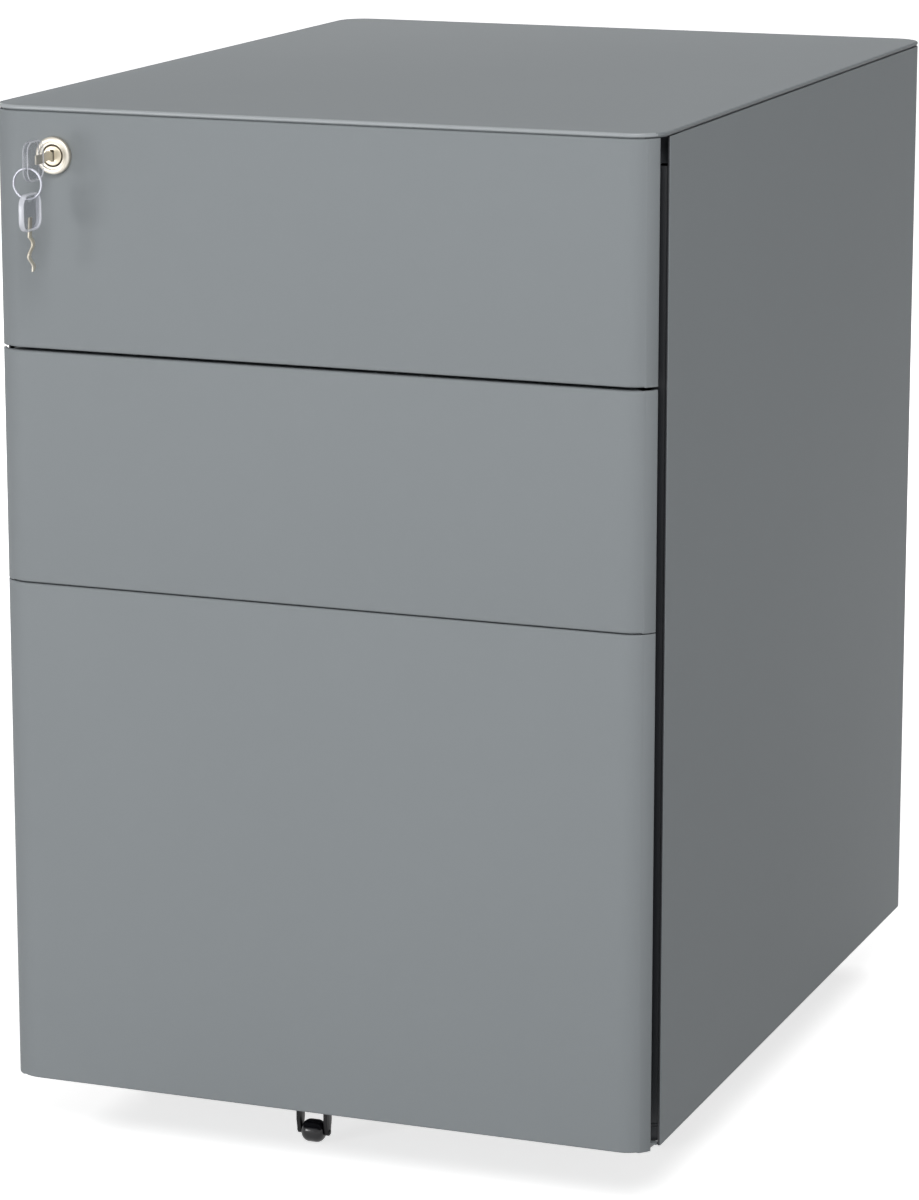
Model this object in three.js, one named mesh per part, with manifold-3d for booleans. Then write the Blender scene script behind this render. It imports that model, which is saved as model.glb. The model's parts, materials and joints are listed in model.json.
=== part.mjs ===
// A drawer cabinet on castors: two small drawers and a file drawer in a folded steel case, with a lock.
// Millimetres, +Z up. The drawers open toward -Y. The origin is on the floor, below the middle of
// the whole object with its hanging keys. Inside the cabinet group, y is the depth behind the fronts.

import * as THREE from 'three';
import { mergeVertices } from 'three/addons/utils/BufferGeometryUtils.js';
import Module from 'manifold-3d';

const wasm = await Module();
wasm.setup();

// Overall sizes
const cabinetWidth = 420;
const cabinetDepth = 565;
const cabinetHeight = 645;
const floorClearance = 40;
const cornerRadius = 20;

// Drawer stack, from the top down
const smallFrontHeight = 141.9;
const topGap = 0.7;
const upperGap = 2;
const lowerGap = 0.8;

// Shared clearances and cuts
const seat = 0.3;
const runningPlay = 0.1;
const overrun = 1;
const lap = 0.4;

// Case sheets
const caseSheet = 1;
const backSheet = 0.8;
const topThickness = 2.5;
const topEdgeRound = 1.1;
const topSeam = 0.8;
const skirtSheet = 1;
const skirtDrop = 18;
const skirtFront = 30;
const slotBack = 21;
const slotFootWidth = 11;
const slotFootSheet = 1.2;
const hemWidth = 4;
const rearReturn = 22;
const backLap = 16;
const backFlange = 8;

// Uprights
const uprightSheet = 1.2;
const uprightFront = 25.3;
const uprightWidth = 30;
const uprightInset = 11;
const rearUprightFromBack = 60;

// Base pan
const baseSheet = 1.5;
const baseRise = 10.3;
const notchFromSide = 70;
const notchDepth = 85;

// Drawer fronts
const frontSheet = 1;
const frontSweep = 60;
const hemSweep = 24;
const panDepth = 18;
const panCornerInset = 2;
const panReturn = 20;

// Drawer boxes
const boxFromBack = 46.7;
const boxSheet = 0.8;
const boxCorner = 4;
const boxLift = 5;
const fileBoxLift = 18;
const rimBelowFrontTop = 51.5;
const rimWidth = 5;
const rimHeight = 3;

// Slides, three nested members on each side
const slideSpace = 12.7;
const slideSheet = 1.2;
const slidePlay = 0.6;
const slideHeight = 42;
const slideFlange = 7.2;
const slideFront = 27;
const slideFromBack = 32;
const slideStep = 2;
const smallSlideShare = 0.41;
const fileSlideShare = 0.49;
const innerFlangeGap = 1;

// Lock, with its axis along Y
const lockFromSide = 44;
const lockBelowTop = 28.5;
const bezelRadius = 10.6;
const bezelReach = 4;
const bezelEdge = 1.2;
const bezelFace = 8.6;
const barrelRadius = 8.2;
const barrelEnd = 19.7;
const barrelHolePlay = 0.4;
const nutRadius = 11;
const nutThickness = 4;
const plugRadius = 6;
const plugReach = 3.4;
const keywayWidth = 2.4;
const keywayHeight = 7;
const keywayDepth = 12;
const camRadius = 8;
const camThickness = 2.2;
const camPinRadius = 1.5;
const camPinOffset = 6;
const camPinLength = 4.5;
const lockTurn = 90;

// Lock bar and the catches that it holds
const barFront = 23.5;
const barThickness = 1.5;
const barWidth = 7.9;
const barFoot = 16;
const armMargin = 4;
const armSlotPlay = 0.5;
const armReach = 1.5;
const catchReach = 17.8;
const catchThickness = 3;
const catchLength = 8.4;
const catchBehindBar = 0.6;
const catchHeight = 70;
const catchPlay = 1.5;
const windowPlay = 2.5;
const windowSide = 2;

// Keys and ring
const bowWidth = 24;
const bowLength = 22;
const bowCorner = 7;
const bowThickness = 3.4;
const bowOut = 39.5;
const eyeFromEnd = 3.5;
const eyeLength = 9;
const eyeWidth = 3.2;
const bladeLength = 24.5;
const bladeWidth = 6.4;
const bladeThickness = 1.8;
const bladeRoot = 8;
const biteDepth = 1.1;
const bitePitch = 4;
const bladeTip = 2.5;
const ringRadius = 9;
const ringWire = 0.75;
const ringFromOut = 3;
const spareCentreShift = 2.5;

// Castors
const castorFromSide = 47;
const frontCastorDepth = 105;
const rearCastorFromBack = 85;
const castorTrail = 18;
const wheelRadius = 20;
const wheelWidth = 19.4;
const wheelEdge = 2.5;
const wheelRim = 4;
const wheelRecess = 4.5;
const hubRadius = 7;
const wheelAxleRadius = 3;
const axleHeadRadius = 5;
const axleHeadThickness = 1.5;
const forkSheet = 2.5;
const crownThickness = 3;
const crownRadius = 15;
const legFoot = 6.5;
const kingpinRadius = 4;
const plateSize = 38;
const plateCorner = 5;
const plateThickness = 2;

// Anti-tilt roller under the file drawer
const rollerRadius = 7.2;
const rollerWidth = 15;
const rollerCrown = 3;
const rollerCrownPower = 3;
const rollerClearance = 1;
const rollerDepth = 55;
const rollerOffset = 27.5;
const rollerAxleRadius = 1.5;
const rollerAxleHead = 0.6;
const prongThickness = 2.5;
const prongWidth = 8;
const prongTaperShare = 0.6;
const bracketBaseHeight = 10;
const bracketFootLength = 18;
const bracketFootWidth = 44;
const bracketFootThickness = 2;

// Facets
const cornerSegments = 8;
const smallCornerSegments = 3;
const bevelSteps = 2;
const nutSides = 6;
const biteSteps = 4;
const crownSteps = 8;
const roundSegments = 24;
const pinSegments = 16;
const ringSegments = 32;
const wireSegments = 8;
const faceCorners = 3;

// Places worked out from the sizes above
const halfWidth = cabinetWidth / 2;
const topUnderside = cabinetHeight - topThickness;
const casePanelTop = topUnderside - topSeam;
const skirtFoot = topUnderside - skirtDrop;
const innerHalf = halfWidth - caseSheet - seat;
const innerRear = cabinetDepth - caseSheet - seat - backSheet - seat;
const innerCorner = cornerRadius - caseSheet - seat;
const baseFoot = floorClearance + caseSheet + seat;
const baseUnderside = floorClearance + baseRise;
const baseFoldTop = baseUnderside - seat;
const baseTop = baseUnderside + baseSheet;
const notchHalf = halfWidth - notchFromSide;
const uprightFace = halfWidth - uprightInset;
const uprightFoot = baseTop + seat;
const uprightTop = skirtFoot - seat;
const slideOuter = uprightFace - seat;
const boxHalf = slideOuter - slideSpace - seat;
const boxFront = panDepth + seat;
const boxRear = cabinetDepth - boxFromBack;
const frontFlat = halfWidth - cornerRadius;

const frontTop1 = topUnderside - topGap;
const frontFoot1 = frontTop1 - smallFrontHeight;
const frontTop2 = frontFoot1 - upperGap;
const frontFoot2 = frontTop2 - smallFrontHeight;
const frontTop3 = frontFoot2 - lowerGap;
const frontFoot3 = floorClearance;

const lockX = -halfWidth + lockFromSide;
const lockZ = cabinetHeight - lockBelowTop;
const bowInner = bowOut - bowLength;
const ringOut = bowOut - ringFromOut;
const spareOut = ringOut - spareCentreShift;
const keyReach = Math.max(bowOut, spareOut + bowWidth / 2);
const eyeSlack = ringWire + seat;
const ringTopZ = lockZ - eyeLength / 2 + eyeSlack;
const ringFootZ = ringTopZ - 2 * ringRadius;
const spareTopZ = ringFootZ + eyeSlack - eyeWidth / 2 + eyeFromEnd;

// Finishes
const finishes = {
  panel: new THREE.MeshStandardMaterial({ color: 0x8c9194, roughness: 0.55, metalness: 0 }),
  inner: new THREE.MeshStandardMaterial({ color: 0x2c2e32, roughness: 0.6, metalness: 0 }),
  drawer: new THREE.MeshStandardMaterial({ color: 0x85898c, roughness: 0.55, metalness: 0 }),
  zinc: new THREE.MeshStandardMaterial({ color: 0xb9bcbf, roughness: 0.35, metalness: 0.9 }),
  nickel: new THREE.MeshStandardMaterial({ color: 0xd8d3c8, roughness: 0.3, metalness: 0.8 }),
  plastic: new THREE.MeshStandardMaterial({ color: 0x17181a, roughness: 0.45, metalness: 0 }),
  smoke: new THREE.MeshStandardMaterial({ color: 0x9a9da2, roughness: 0.3, metalness: 0 }),
};

const radians = THREE.MathUtils.degToRad;
const point = (x, y) => new THREE.Vector2(x, y);

// Solids: a closed mesh goes in, joined or cut meshes come out
function solidOf(geometry) {
  const bare = geometry.clone();
  bare.deleteAttribute('normal');
  bare.deleteAttribute('uv');
  const welded = mergeVertices(bare);
  const mesh = new wasm.Mesh({
    numProp: 3,
    vertProperties: Float32Array.from(welded.attributes.position.array),
    triVerts: Uint32Array.from(welded.index.array),
  });
  return new wasm.Manifold(mesh);
}

function geometryOf(solid) {
  const mesh = solid.getMesh();
  const geometry = new THREE.BufferGeometry();
  geometry.setAttribute('position', new THREE.Float32BufferAttribute(mesh.vertProperties, 3));
  geometry.setIndex(new THREE.Uint32BufferAttribute(mesh.triVerts, 1));
  geometry.computeVertexNormals();
  return geometry;
}

function join(first, ...others) {
  return geometryOf(others.reduce((sum, next) => sum.add(solidOf(next)), solidOf(first)));
}

function cut(body, ...tools) {
  return geometryOf(tools.reduce((rest, tool) => rest.subtract(solidOf(tool)), solidOf(body)));
}

// Extrusions along Z, Y and X
function raise(shape, height, z, segments = cornerSegments) {
  const settings = { depth: height, bevelEnabled: false, curveSegments: segments };
  return new THREE.ExtrudeGeometry(shape, settings).translate(0, 0, z);
}

function runBack(shape, length, y, segments = cornerSegments) {
  const settings = { depth: length, bevelEnabled: false, curveSegments: segments };
  const geometry = new THREE.ExtrudeGeometry(shape, settings);
  return geometry.rotateX(Math.PI / 2).translate(0, y + length, 0);
}

const acrossBasis = new THREE.Matrix4().makeBasis(
  new THREE.Vector3(0, 1, 0),
  new THREE.Vector3(0, 0, 1),
  new THREE.Vector3(1, 0, 0),
);

function runAcross(shape, width, x, segments = cornerSegments) {
  const settings = { depth: width, bevelEnabled: false, curveSegments: segments };
  return new THREE.ExtrudeGeometry(shape, settings).applyMatrix4(acrossBasis).translate(x, 0, 0);
}

function block(xSpan, ySpan, zSpan) {
  const size = [xSpan, ySpan, zSpan].map(([low, high]) => high - low);
  const middle = [xSpan, ySpan, zSpan].map(([low, high]) => (low + high) / 2);
  return new THREE.BoxGeometry(...size).translate(...middle);
}

// Revolved solids about the Y axis, and the same laid along X or Z. A profile runs along the bore
// and comes back over the outside.
function revolve(profile, segments = roundSegments) {
  const points = [...profile, profile[0]].map(([radius, along]) => point(radius, along));
  return new THREE.LatheGeometry(points.reverse(), segments);
}

function rodY(radius, from, to, segments = pinSegments) {
  return new THREE.CylinderGeometry(radius, radius, to - from, segments).translate(0, (from + to) / 2, 0);
}

const alongX = (geometry) => geometry.rotateZ(-Math.PI / 2);
const alongZ = (geometry) => geometry.rotateX(Math.PI / 2);

// A bore whose flats stay clear of the round pin that turns in it
const boreFor = (radius, segments) => (radius + runningPlay) / Math.cos(Math.PI / segments);

// Outlines
function roundedRect(low, high, radius) {
  const [left, front] = low;
  const [right, rear] = high;
  const shape = new THREE.Shape();
  shape.moveTo(left + radius, front);
  shape.lineTo(right - radius, front);
  shape.absarc(right - radius, front + radius, radius, -Math.PI / 2, 0);
  shape.lineTo(right, rear - radius);
  shape.absarc(right - radius, rear - radius, radius, 0, Math.PI / 2);
  shape.lineTo(left + radius, rear);
  shape.absarc(left + radius, rear - radius, radius, Math.PI / 2, Math.PI);
  shape.lineTo(left, front + radius);
  shape.absarc(left + radius, front + radius, radius, Math.PI, 1.5 * Math.PI);
  return shape;
}

function polygon(points) {
  return new THREE.Shape(points.map(([x, y]) => point(x, y)));
}

// The section of a folded sheet: the path is one face, and the other lies to its left
function foldedSheet(path, thickness) {
  const corners = path.map(([x, y]) => point(x, y));
  const normalOf = (from, to) => {
    const along = to.clone().sub(from).normalize();
    return point(-along.y, along.x);
  };
  const other = corners.map((corner, index) => {
    const before = index > 0 ? normalOf(corners[index - 1], corner) : null;
    const after = index < corners.length - 1 ? normalOf(corner, corners[index + 1]) : null;
    const first = before ?? after;
    const second = after ?? before;
    const mitre = first.clone().add(second).divideScalar(1 + first.dot(second));
    return corner.clone().addScaledVector(mitre, thickness);
  });
  return new THREE.Shape([...corners, ...other.reverse()]);
}

// Case: a flat top over two side panels that wrap round to the back
function topPanel() {
  const outline = roundedRect([-halfWidth, 0], [halfWidth, cabinetDepth], cornerRadius);
  const plate = new THREE.ExtrudeGeometry(outline, {
    depth: topThickness - 2 * topEdgeRound,
    bevelThickness: topEdgeRound,
    bevelSize: topEdgeRound,
    bevelOffset: -topEdgeRound,
    bevelSegments: bevelSteps,
    curveSegments: cornerSegments,
  }).translate(0, 0, topUnderside + topEdgeRound);
  const skirt = roundedRect([-innerHalf, skirtFront], [innerHalf, innerRear], innerCorner);
  skirt.holes.push(
    roundedRect(
      [-innerHalf + skirtSheet, skirtFront + skirtSheet],
      [innerHalf - skirtSheet, innerRear - skirtSheet],
      innerCorner - skirtSheet,
    ),
  );
  return join(plate, raise(skirt, skirtDrop + lap, skirtFoot, smallCornerSegments));
}

function sidePanel(side) {
  const rearCentre = [halfWidth - cornerRadius, cabinetDepth - cornerRadius];
  const skin = new THREE.Shape();
  skin.moveTo(halfWidth, slotBack);
  skin.lineTo(halfWidth, rearCentre[1]);
  skin.absarc(...rearCentre, cornerRadius, 0, Math.PI / 2);
  skin.lineTo(rearCentre[0] - rearReturn, cabinetDepth);
  skin.lineTo(rearCentre[0] - rearReturn, cabinetDepth - caseSheet);
  skin.absarc(...rearCentre, cornerRadius - caseSheet, Math.PI / 2, 0, true);
  skin.lineTo(halfWidth - caseSheet, slotBack + hemWidth);
  skin.lineTo(halfWidth - 2 * caseSheet, slotBack + hemWidth);
  skin.lineTo(halfWidth - 2 * caseSheet, slotBack);
  const wall = join(raise(skin, casePanelTop - floorClearance, floorClearance));
  return side < 0 ? mirrored(wall) : wall;
}

// The same piece for the other side: x changes sign and each face turns round with it
function mirrored(geometry) {
  const flipped = geometry.clone().scale(-1, 1, 1);
  const order = flipped.index.array;
  for (let start = 0; start < order.length; start += faceCorners) {
    [order[start], order[start + 1]] = [order[start + 1], order[start]];
  }
  flipped.computeVertexNormals();
  return flipped;
}

// Closes the foot of a finger slot, between the wall's hem and the base
function slotFoot(side) {
  const outer = halfWidth - 2 * caseSheet - seat;
  const across = [side * outer, side * (outer - slotFootWidth)];
  return block(
    across.sort((a, b) => a - b),
    [slotBack, uprightFront - seat],
    [floorClearance, floorClearance + slotFootSheet],
  );
}

function backPanel() {
  const face = cabinetDepth - caseSheet - seat;
  const lapHalf = halfWidth - cornerRadius - rearReturn + backLap;
  const plate = block(
    [-lapHalf, lapHalf],
    [face - backSheet, face],
    [baseFoot, casePanelTop],
  );
  const flanges = [-1, 1].map((side) =>
    block(
      side < 0 ? [-lapHalf, -lapHalf + backSheet] : [lapHalf - backSheet, lapHalf],
      [face - backFlange, face - backSheet / 2],
      [uprightFoot, uprightTop],
    ),
  );
  return join(plate, ...flanges);
}

function basePlate() {
  const front = uprightFront;
  const shape = new THREE.Shape();
  shape.moveTo(-innerHalf, front);
  shape.lineTo(-notchHalf, front);
  shape.lineTo(-notchHalf, notchDepth);
  shape.lineTo(notchHalf, notchDepth);
  shape.lineTo(notchHalf, front);
  shape.lineTo(innerHalf, front);
  shape.lineTo(innerHalf, innerRear - innerCorner);
  shape.absarc(innerHalf - innerCorner, innerRear - innerCorner, innerCorner, 0, Math.PI / 2);
  shape.lineTo(-innerHalf + innerCorner, innerRear);
  shape.absarc(-innerHalf + innerCorner, innerRear - innerCorner, innerCorner, Math.PI / 2, Math.PI);
  return raise(shape, baseSheet, baseUnderside);
}

// The folded strips below the base plate: one along its front and notch, one round its sides and back
function baseFrontFold() {
  const front = uprightFront;
  const path = [
    [-innerHalf, front],
    [-notchHalf, front],
    [-notchHalf, notchDepth],
    [notchHalf, notchDepth],
    [notchHalf, front],
    [innerHalf, front],
  ];
  return raise(foldedSheet(path, baseSheet), baseFoldTop - baseFoot, baseFoot);
}

function baseRim() {
  const start = uprightFront + baseSheet + seat;
  const centre = innerRear - innerCorner;
  const inside = innerCorner - baseSheet;
  const shape = new THREE.Shape();
  shape.moveTo(innerHalf, start);
  shape.lineTo(innerHalf, centre);
  shape.absarc(innerHalf - innerCorner, centre, innerCorner, 0, Math.PI / 2);
  shape.lineTo(-innerHalf + innerCorner, innerRear);
  shape.absarc(-innerHalf + innerCorner, centre, innerCorner, Math.PI / 2, Math.PI);
  shape.lineTo(-innerHalf, start);
  shape.lineTo(-innerHalf + baseSheet, start);
  shape.absarc(-innerHalf + innerCorner, centre, inside, Math.PI, Math.PI / 2, true);
  shape.lineTo(innerHalf - innerCorner, innerRear - baseSheet);
  shape.absarc(innerHalf - innerCorner, centre, inside, Math.PI / 2, 0, true);
  shape.lineTo(innerHalf - baseSheet, start);
  return raise(shape, baseFoldTop - baseFoot, baseFoot);
}

function upright(side, front, windows) {
  const path = [
    [side * innerHalf, front],
    [side * uprightFace, front],
    [side * uprightFace, front + uprightWidth],
    [side * innerHalf, front + uprightWidth],
  ];
  const section = foldedSheet(path, -side * uprightSheet);
  const channel = raise(section, uprightTop - uprightFoot, uprightFoot);
  return windows.length ? cut(channel, ...windows) : channel;
}

// Slides
function channelRail(side, webX, flangeX, halfHeight, height, from, to) {
  const path = [
    [side * flangeX, height - halfHeight],
    [side * webX, height - halfHeight],
    [side * webX, height + halfHeight],
    [side * flangeX, height + halfHeight],
  ];
  const inward = webX > flangeX ? side : -side;
  return runBack(foldedSheet(path, inward * slideSheet), to - from, from);
}

const caseRailHalf = slideHeight / 2;
const midRailHalf = caseRailHalf - slideSheet - slidePlay;
const drawerRailHalf = midRailHalf - slideSheet - slidePlay;
const slideRear = cabinetDepth - slideFromBack;
const midWeb = slideOuter - slideSheet - slidePlay;
const drawerWeb = slideOuter - slideSpace;

function caseRail(side, height) {
  const flange = slideOuter - slideFlange;
  return channelRail(side, slideOuter, flange, caseRailHalf, height, slideFront, slideRear);
}

function midRail(side, height) {
  const flange = midWeb - slideFlange + slidePlay;
  const from = slideFront + slideStep;
  return channelRail(side, midWeb, flange, midRailHalf, height, from, slideRear - slideStep);
}

function drawerRail(side, height) {
  const flange = midWeb - slideSheet - innerFlangeGap;
  const from = slideFront + slideStep;
  return channelRail(side, drawerWeb, flange, drawerRailHalf, height, from, boxRear);
}

// Drawer fronts: a curved skin, turned back at the top, the foot and inside both finger slots
function drawerFront(foot, top, holes) {
  const turn = radians(frontSweep);
  const hemStart = radians(frontSweep - hemSweep);
  const along = (side, radius, angle) => [
    side * (frontFlat + radius * Math.sin(angle)),
    cornerRadius - radius * Math.cos(angle),
  ];
  const inner = cornerRadius - frontSheet;
  const hemmed = cornerRadius - 2 * frontSheet;
  const up = 1.5 * Math.PI;
  const skin = new THREE.Shape();
  skin.moveTo(-frontFlat, 0);
  skin.lineTo(frontFlat, 0);
  skin.absarc(frontFlat, cornerRadius, cornerRadius, up, up + turn);
  skin.lineTo(...along(1, hemmed, turn));
  skin.absarc(frontFlat, cornerRadius, hemmed, up + turn, up + hemStart, true);
  skin.absarc(frontFlat, cornerRadius, inner, up + hemStart, up, true);
  skin.lineTo(-frontFlat, frontSheet);
  skin.absarc(-frontFlat, cornerRadius, inner, up, up - hemStart, true);
  skin.absarc(-frontFlat, cornerRadius, hemmed, up - hemStart, up - turn, true);
  skin.lineTo(...along(-1, cornerRadius, turn));
  skin.absarc(-frontFlat, cornerRadius, cornerRadius, up - turn, up);
  const shell = raise(skin, top - foot, foot);

  const panHalf = frontFlat - panCornerInset;
  const middle = cornerRadius - frontSheet / 2;
  const lid = new THREE.Shape();
  lid.moveTo(-frontFlat, frontSheet / 2);
  lid.lineTo(frontFlat, frontSheet / 2);
  lid.absarc(frontFlat, cornerRadius, middle, up, up + hemStart);
  lid.lineTo(panHalf, panDepth);
  lid.lineTo(-panHalf, panDepth);
  lid.lineTo(...along(-1, middle, hemStart));
  lid.absarc(-frontFlat, cornerRadius, middle, up - hemStart, up);
  const lids = [foot, top - frontSheet].map((z) => raise(lid, frontSheet, z));

  const returns = [-1, 1].map((side) => {
    const path = [
      [side * panHalf, frontSheet / 2],
      [side * panHalf, panDepth],
      [side * (panHalf - panReturn), panDepth],
    ];
    return raise(foldedSheet(path, side * frontSheet), top - foot - frontSheet, foot + frontSheet / 2);
  });
  const pan = join(shell, ...lids, ...returns);
  return holes.length ? cut(pan, ...holes) : pan;
}

// Drawer boxes: a tray with a turned rim, and the catch that the lock bar holds
function drawerBox(foot, height) {
  const wallInner = boxHalf - boxSheet;
  const outer = roundedRect([-boxHalf, boxFront], [boxHalf, boxRear], boxCorner);
  const inner = roundedRect(
    [-wallInner, boxFront + boxSheet],
    [wallInner, boxRear - boxSheet],
    boxCorner - boxSheet,
  );
  const rimInner = roundedRect(
    [-boxHalf + rimWidth, boxFront + rimWidth],
    [boxHalf - rimWidth, boxRear - rimWidth],
    boxCorner - boxSheet,
  );
  const hollow = raise(inner, height - boxSheet - rimHeight, foot + boxSheet, smallCornerSegments);
  const mouthFoot = foot + height - rimHeight - overrun;
  const mouth = raise(rimInner, rimHeight + 2 * overrun, mouthFoot, smallCornerSegments);
  const tray = cut(raise(outer, height, foot, smallCornerSegments), hollow, mouth);
  const catchY = barFront + barThickness + catchBehindBar;
  const tab = block(
    [-boxHalf - catchReach, -boxHalf + boxSheet / 2],
    [catchY, catchY + catchLength],
    catchSpan(foot),
  );
  return join(tray, tab);
}

function catchSpan(foot, play = 0) {
  const middle = foot + catchHeight;
  return [middle - catchThickness / 2 - play, middle + catchThickness / 2 + play];
}

const boxFeet = [frontFoot1 + boxLift, frontFoot2 + boxLift, frontFoot3 + fileBoxLift];
const frontTops = [frontTop1, frontTop2, frontTop3];
const boxHeights = frontTops.map((top, index) => top - rimBelowFrontTop - boxFeet[index]);
const slideShares = [smallSlideShare, smallSlideShare, fileSlideShare];
const slideHeights = boxFeet.map((foot, index) => foot + boxHeights[index] * slideShares[index]);

// Lock bar: a flat strip in front of the left upright, with a notch for each catch and an arm to the lock
const barOuter = halfWidth - 2 * caseSheet - seat;
const barInner = barOuter - barWidth;
const catchWindows = boxFeet.map((foot) =>
  block(
    [-innerHalf + windowSide, -uprightFace + overrun],
    [uprightFront - overrun, barFront + barThickness + catchBehindBar + catchLength + windowPlay],
    catchSpan(foot, windowPlay),
  ),
);

function lockBar() {
  const pinDrop = camPinOffset * Math.sin(radians(lockTurn / 2));
  const pinSide = camPinOffset * Math.cos(radians(lockTurn / 2));
  const slotHalf = camPinRadius + armSlotPlay;
  const slotZ = lockZ - pinDrop;
  const armTop = slotZ + slotHalf + armMargin;
  const armFoot = slotZ - slotHalf - armMargin;
  const armEnd = lockX + armReach;
  const outline = polygon([
    [-barOuter, boxFeet[2] + barFoot],
    [-barInner, boxFeet[2] + barFoot],
    [-barInner, armFoot],
    [armEnd, armFoot],
    [armEnd, armTop],
    [-barOuter, armTop],
  ]);
  const slot = roundedRect(
    [lockX - camPinOffset - slotHalf, slotZ - slotHalf],
    [lockX - pinSide + slotHalf, slotZ + slotHalf],
    slotHalf,
  );
  outline.holes.push(slot);
  const notches = boxFeet.map((foot) =>
    block(
      [-boxHalf - catchReach - armSlotPlay, -barInner + overrun],
      [barFront - overrun, barFront + barThickness + overrun],
      catchSpan(foot, catchPlay),
    ),
  );
  return cut(runBack(outline, barThickness, barFront), ...notches);
}

// Lock: housing with its nut, plug with a keyway, and an eccentric cam
function lockHousing() {
  const bore = boreFor(plugRadius, roundSegments);
  const body = revolve([
    [bore, -bezelReach],
    [bore, barrelEnd],
    [barrelRadius, barrelEnd],
    [barrelRadius, -seat],
    [bezelRadius, -seat],
    [bezelRadius, -seat - bezelEdge],
    [(bezelRadius + bezelFace) / 2, -bezelReach + bezelEdge / 2],
    [bezelFace, -bezelReach],
  ]);
  const nutFrom = frontSheet + seat;
  const nutRing = cut(
    rodY(nutRadius, nutFrom, nutFrom + nutThickness, nutSides),
    rodY(barrelRadius - lap, nutFrom - overrun, nutFrom + nutThickness + overrun, roundSegments),
  );
  return join(body, nutRing);
}

function lockPlug() {
  const plug = rodY(plugRadius, -plugReach, barrelEnd + seat, roundSegments);
  const keyway = block(
    [-keywayWidth / 2, keywayWidth / 2],
    [-plugReach - overrun, keywayDepth],
    [-keywayHeight / 2, keywayHeight / 2],
  );
  return cut(plug, keyway);
}

function lockCam() {
  const from = barrelEnd + 2 * seat;
  const disc = rodY(camRadius, from, from + camThickness, roundSegments);
  const pin = rodY(camPinRadius, from + camThickness / 2, from + camThickness + camPinLength);
  const half = radians(lockTurn / 2);
  pin.translate(-camPinOffset * Math.cos(half), 0, -camPinOffset * Math.sin(half));
  return join(disc, pin);
}

// Keys: drawn in a plane, u from the bow's outer end to the blade's tip and v across
function bowOutline() {
  const outline = roundedRect([0, -bowWidth / 2], [bowLength, bowWidth / 2], bowCorner);
  const eye = roundedRect(
    [eyeFromEnd - eyeWidth / 2, -eyeLength / 2],
    [eyeFromEnd + eyeWidth / 2, eyeLength / 2],
    eyeWidth / 2,
  );
  outline.holes.push(eye);
  return outline;
}

function bladeOutline(root) {
  const tip = bowLength + bladeLength;
  const half = bladeWidth / 2;
  const bitten = bladeLength - bladeTip - bitePitch;
  const bites = Math.max(1, Math.round(bitten / bitePitch));
  const points = [
    [bowLength - root, -half],
    [tip - bladeTip, -half],
    [tip, 0],
    [tip - bladeTip, half - biteDepth],
  ];
  for (let step = 1; step <= bites * biteSteps; step += 1) {
    const share = step / (bites * biteSteps);
    const wave = Math.cos(2 * Math.PI * bites * share);
    points.push([tip - bladeTip - bitten * share, half - biteDepth * (1 + (1 - wave) / 2) / 2]);
  }
  points.push([bowLength + bitePitch / 2, half], [bowLength - root, half]);
  return polygon(points);
}

// A flat key piece, laid in the depth and height plane: out of the lock, or hanging blade down
function laidOut(shape, thickness) {
  const flat = runAcross(shape, thickness, -thickness / 2, smallCornerSegments);
  return flat.translate(0, -bowOut, 0);
}

function hung(shape, thickness) {
  const flat = runAcross(shape, thickness, -thickness / 2, smallCornerSegments);
  return flat.rotateX(-Math.PI / 2).translate(0, -spareOut, spareTopZ);
}

function keyBow() {
  const pocket = block(
    [-bladeThickness / 2 - seat, bladeThickness / 2 + seat],
    [-bowInner - bladeRoot - seat, -bowInner + overrun],
    [-bladeWidth / 2 - seat, bladeWidth / 2 + seat],
  );
  return cut(laidOut(bowOutline(), bowThickness), pocket);
}

function keyBlade() {
  return laidOut(bladeOutline(bladeRoot), bladeThickness);
}

function spareKey() {
  return join(hung(bowOutline(), bowThickness), hung(bladeOutline(bladeRoot), bladeThickness));
}

function keyRing() {
  const ring = new THREE.TorusGeometry(ringRadius, ringWire, wireSegments, ringSegments);
  return ring.rotateX(Math.PI / 2).translate(0, -ringOut, (ringTopZ + ringFootZ) / 2);
}

// Castors: a plate, a fork that swivels under it, and a wheel on its axle
const plateTop = baseUnderside - seat;
const crownTop = plateTop - plateThickness - seat;
const forkGap = wheelWidth / 2 + seat;

function castorPlate() {
  const half = plateSize / 2;
  const plate = roundedRect([-half, -half], [half, half], plateCorner);
  const hole = rodY(boreFor(kingpinRadius, pinSegments), -overrun, plateThickness + overrun);
  return cut(
    raise(plate, plateThickness, plateTop - plateThickness, smallCornerSegments),
    alongZ(hole).translate(0, 0, plateTop - plateThickness),
  );
}

function castorFork() {
  const crown = alongZ(rodY(crownRadius, 0, crownThickness, roundSegments));
  crown.translate(0, 0, crownTop - crownThickness);
  const kingpin = alongZ(rodY(kingpinRadius, 0, crownThickness / 2 + seat + plateThickness));
  kingpin.translate(0, 0, crownTop - crownThickness / 2);
  const legTop = crownTop - crownThickness / 2;
  const crownHalf = Math.sqrt(crownRadius ** 2 - (forkGap + forkSheet) ** 2);
  const leg = new THREE.Shape();
  leg.moveTo(-crownHalf, legTop);
  leg.lineTo(-crownHalf, legTop - crownThickness);
  leg.lineTo(castorTrail - legFoot, wheelRadius);
  leg.absarc(castorTrail, wheelRadius, legFoot, Math.PI, 2 * Math.PI);
  leg.lineTo(crownHalf, legTop - crownThickness);
  leg.lineTo(crownHalf, legTop);
  const legs = [-forkGap - forkSheet, forkGap].map((x) => runAcross(leg, forkSheet, x));
  return join(crown, kingpin, ...legs, castorAxle());
}

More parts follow.
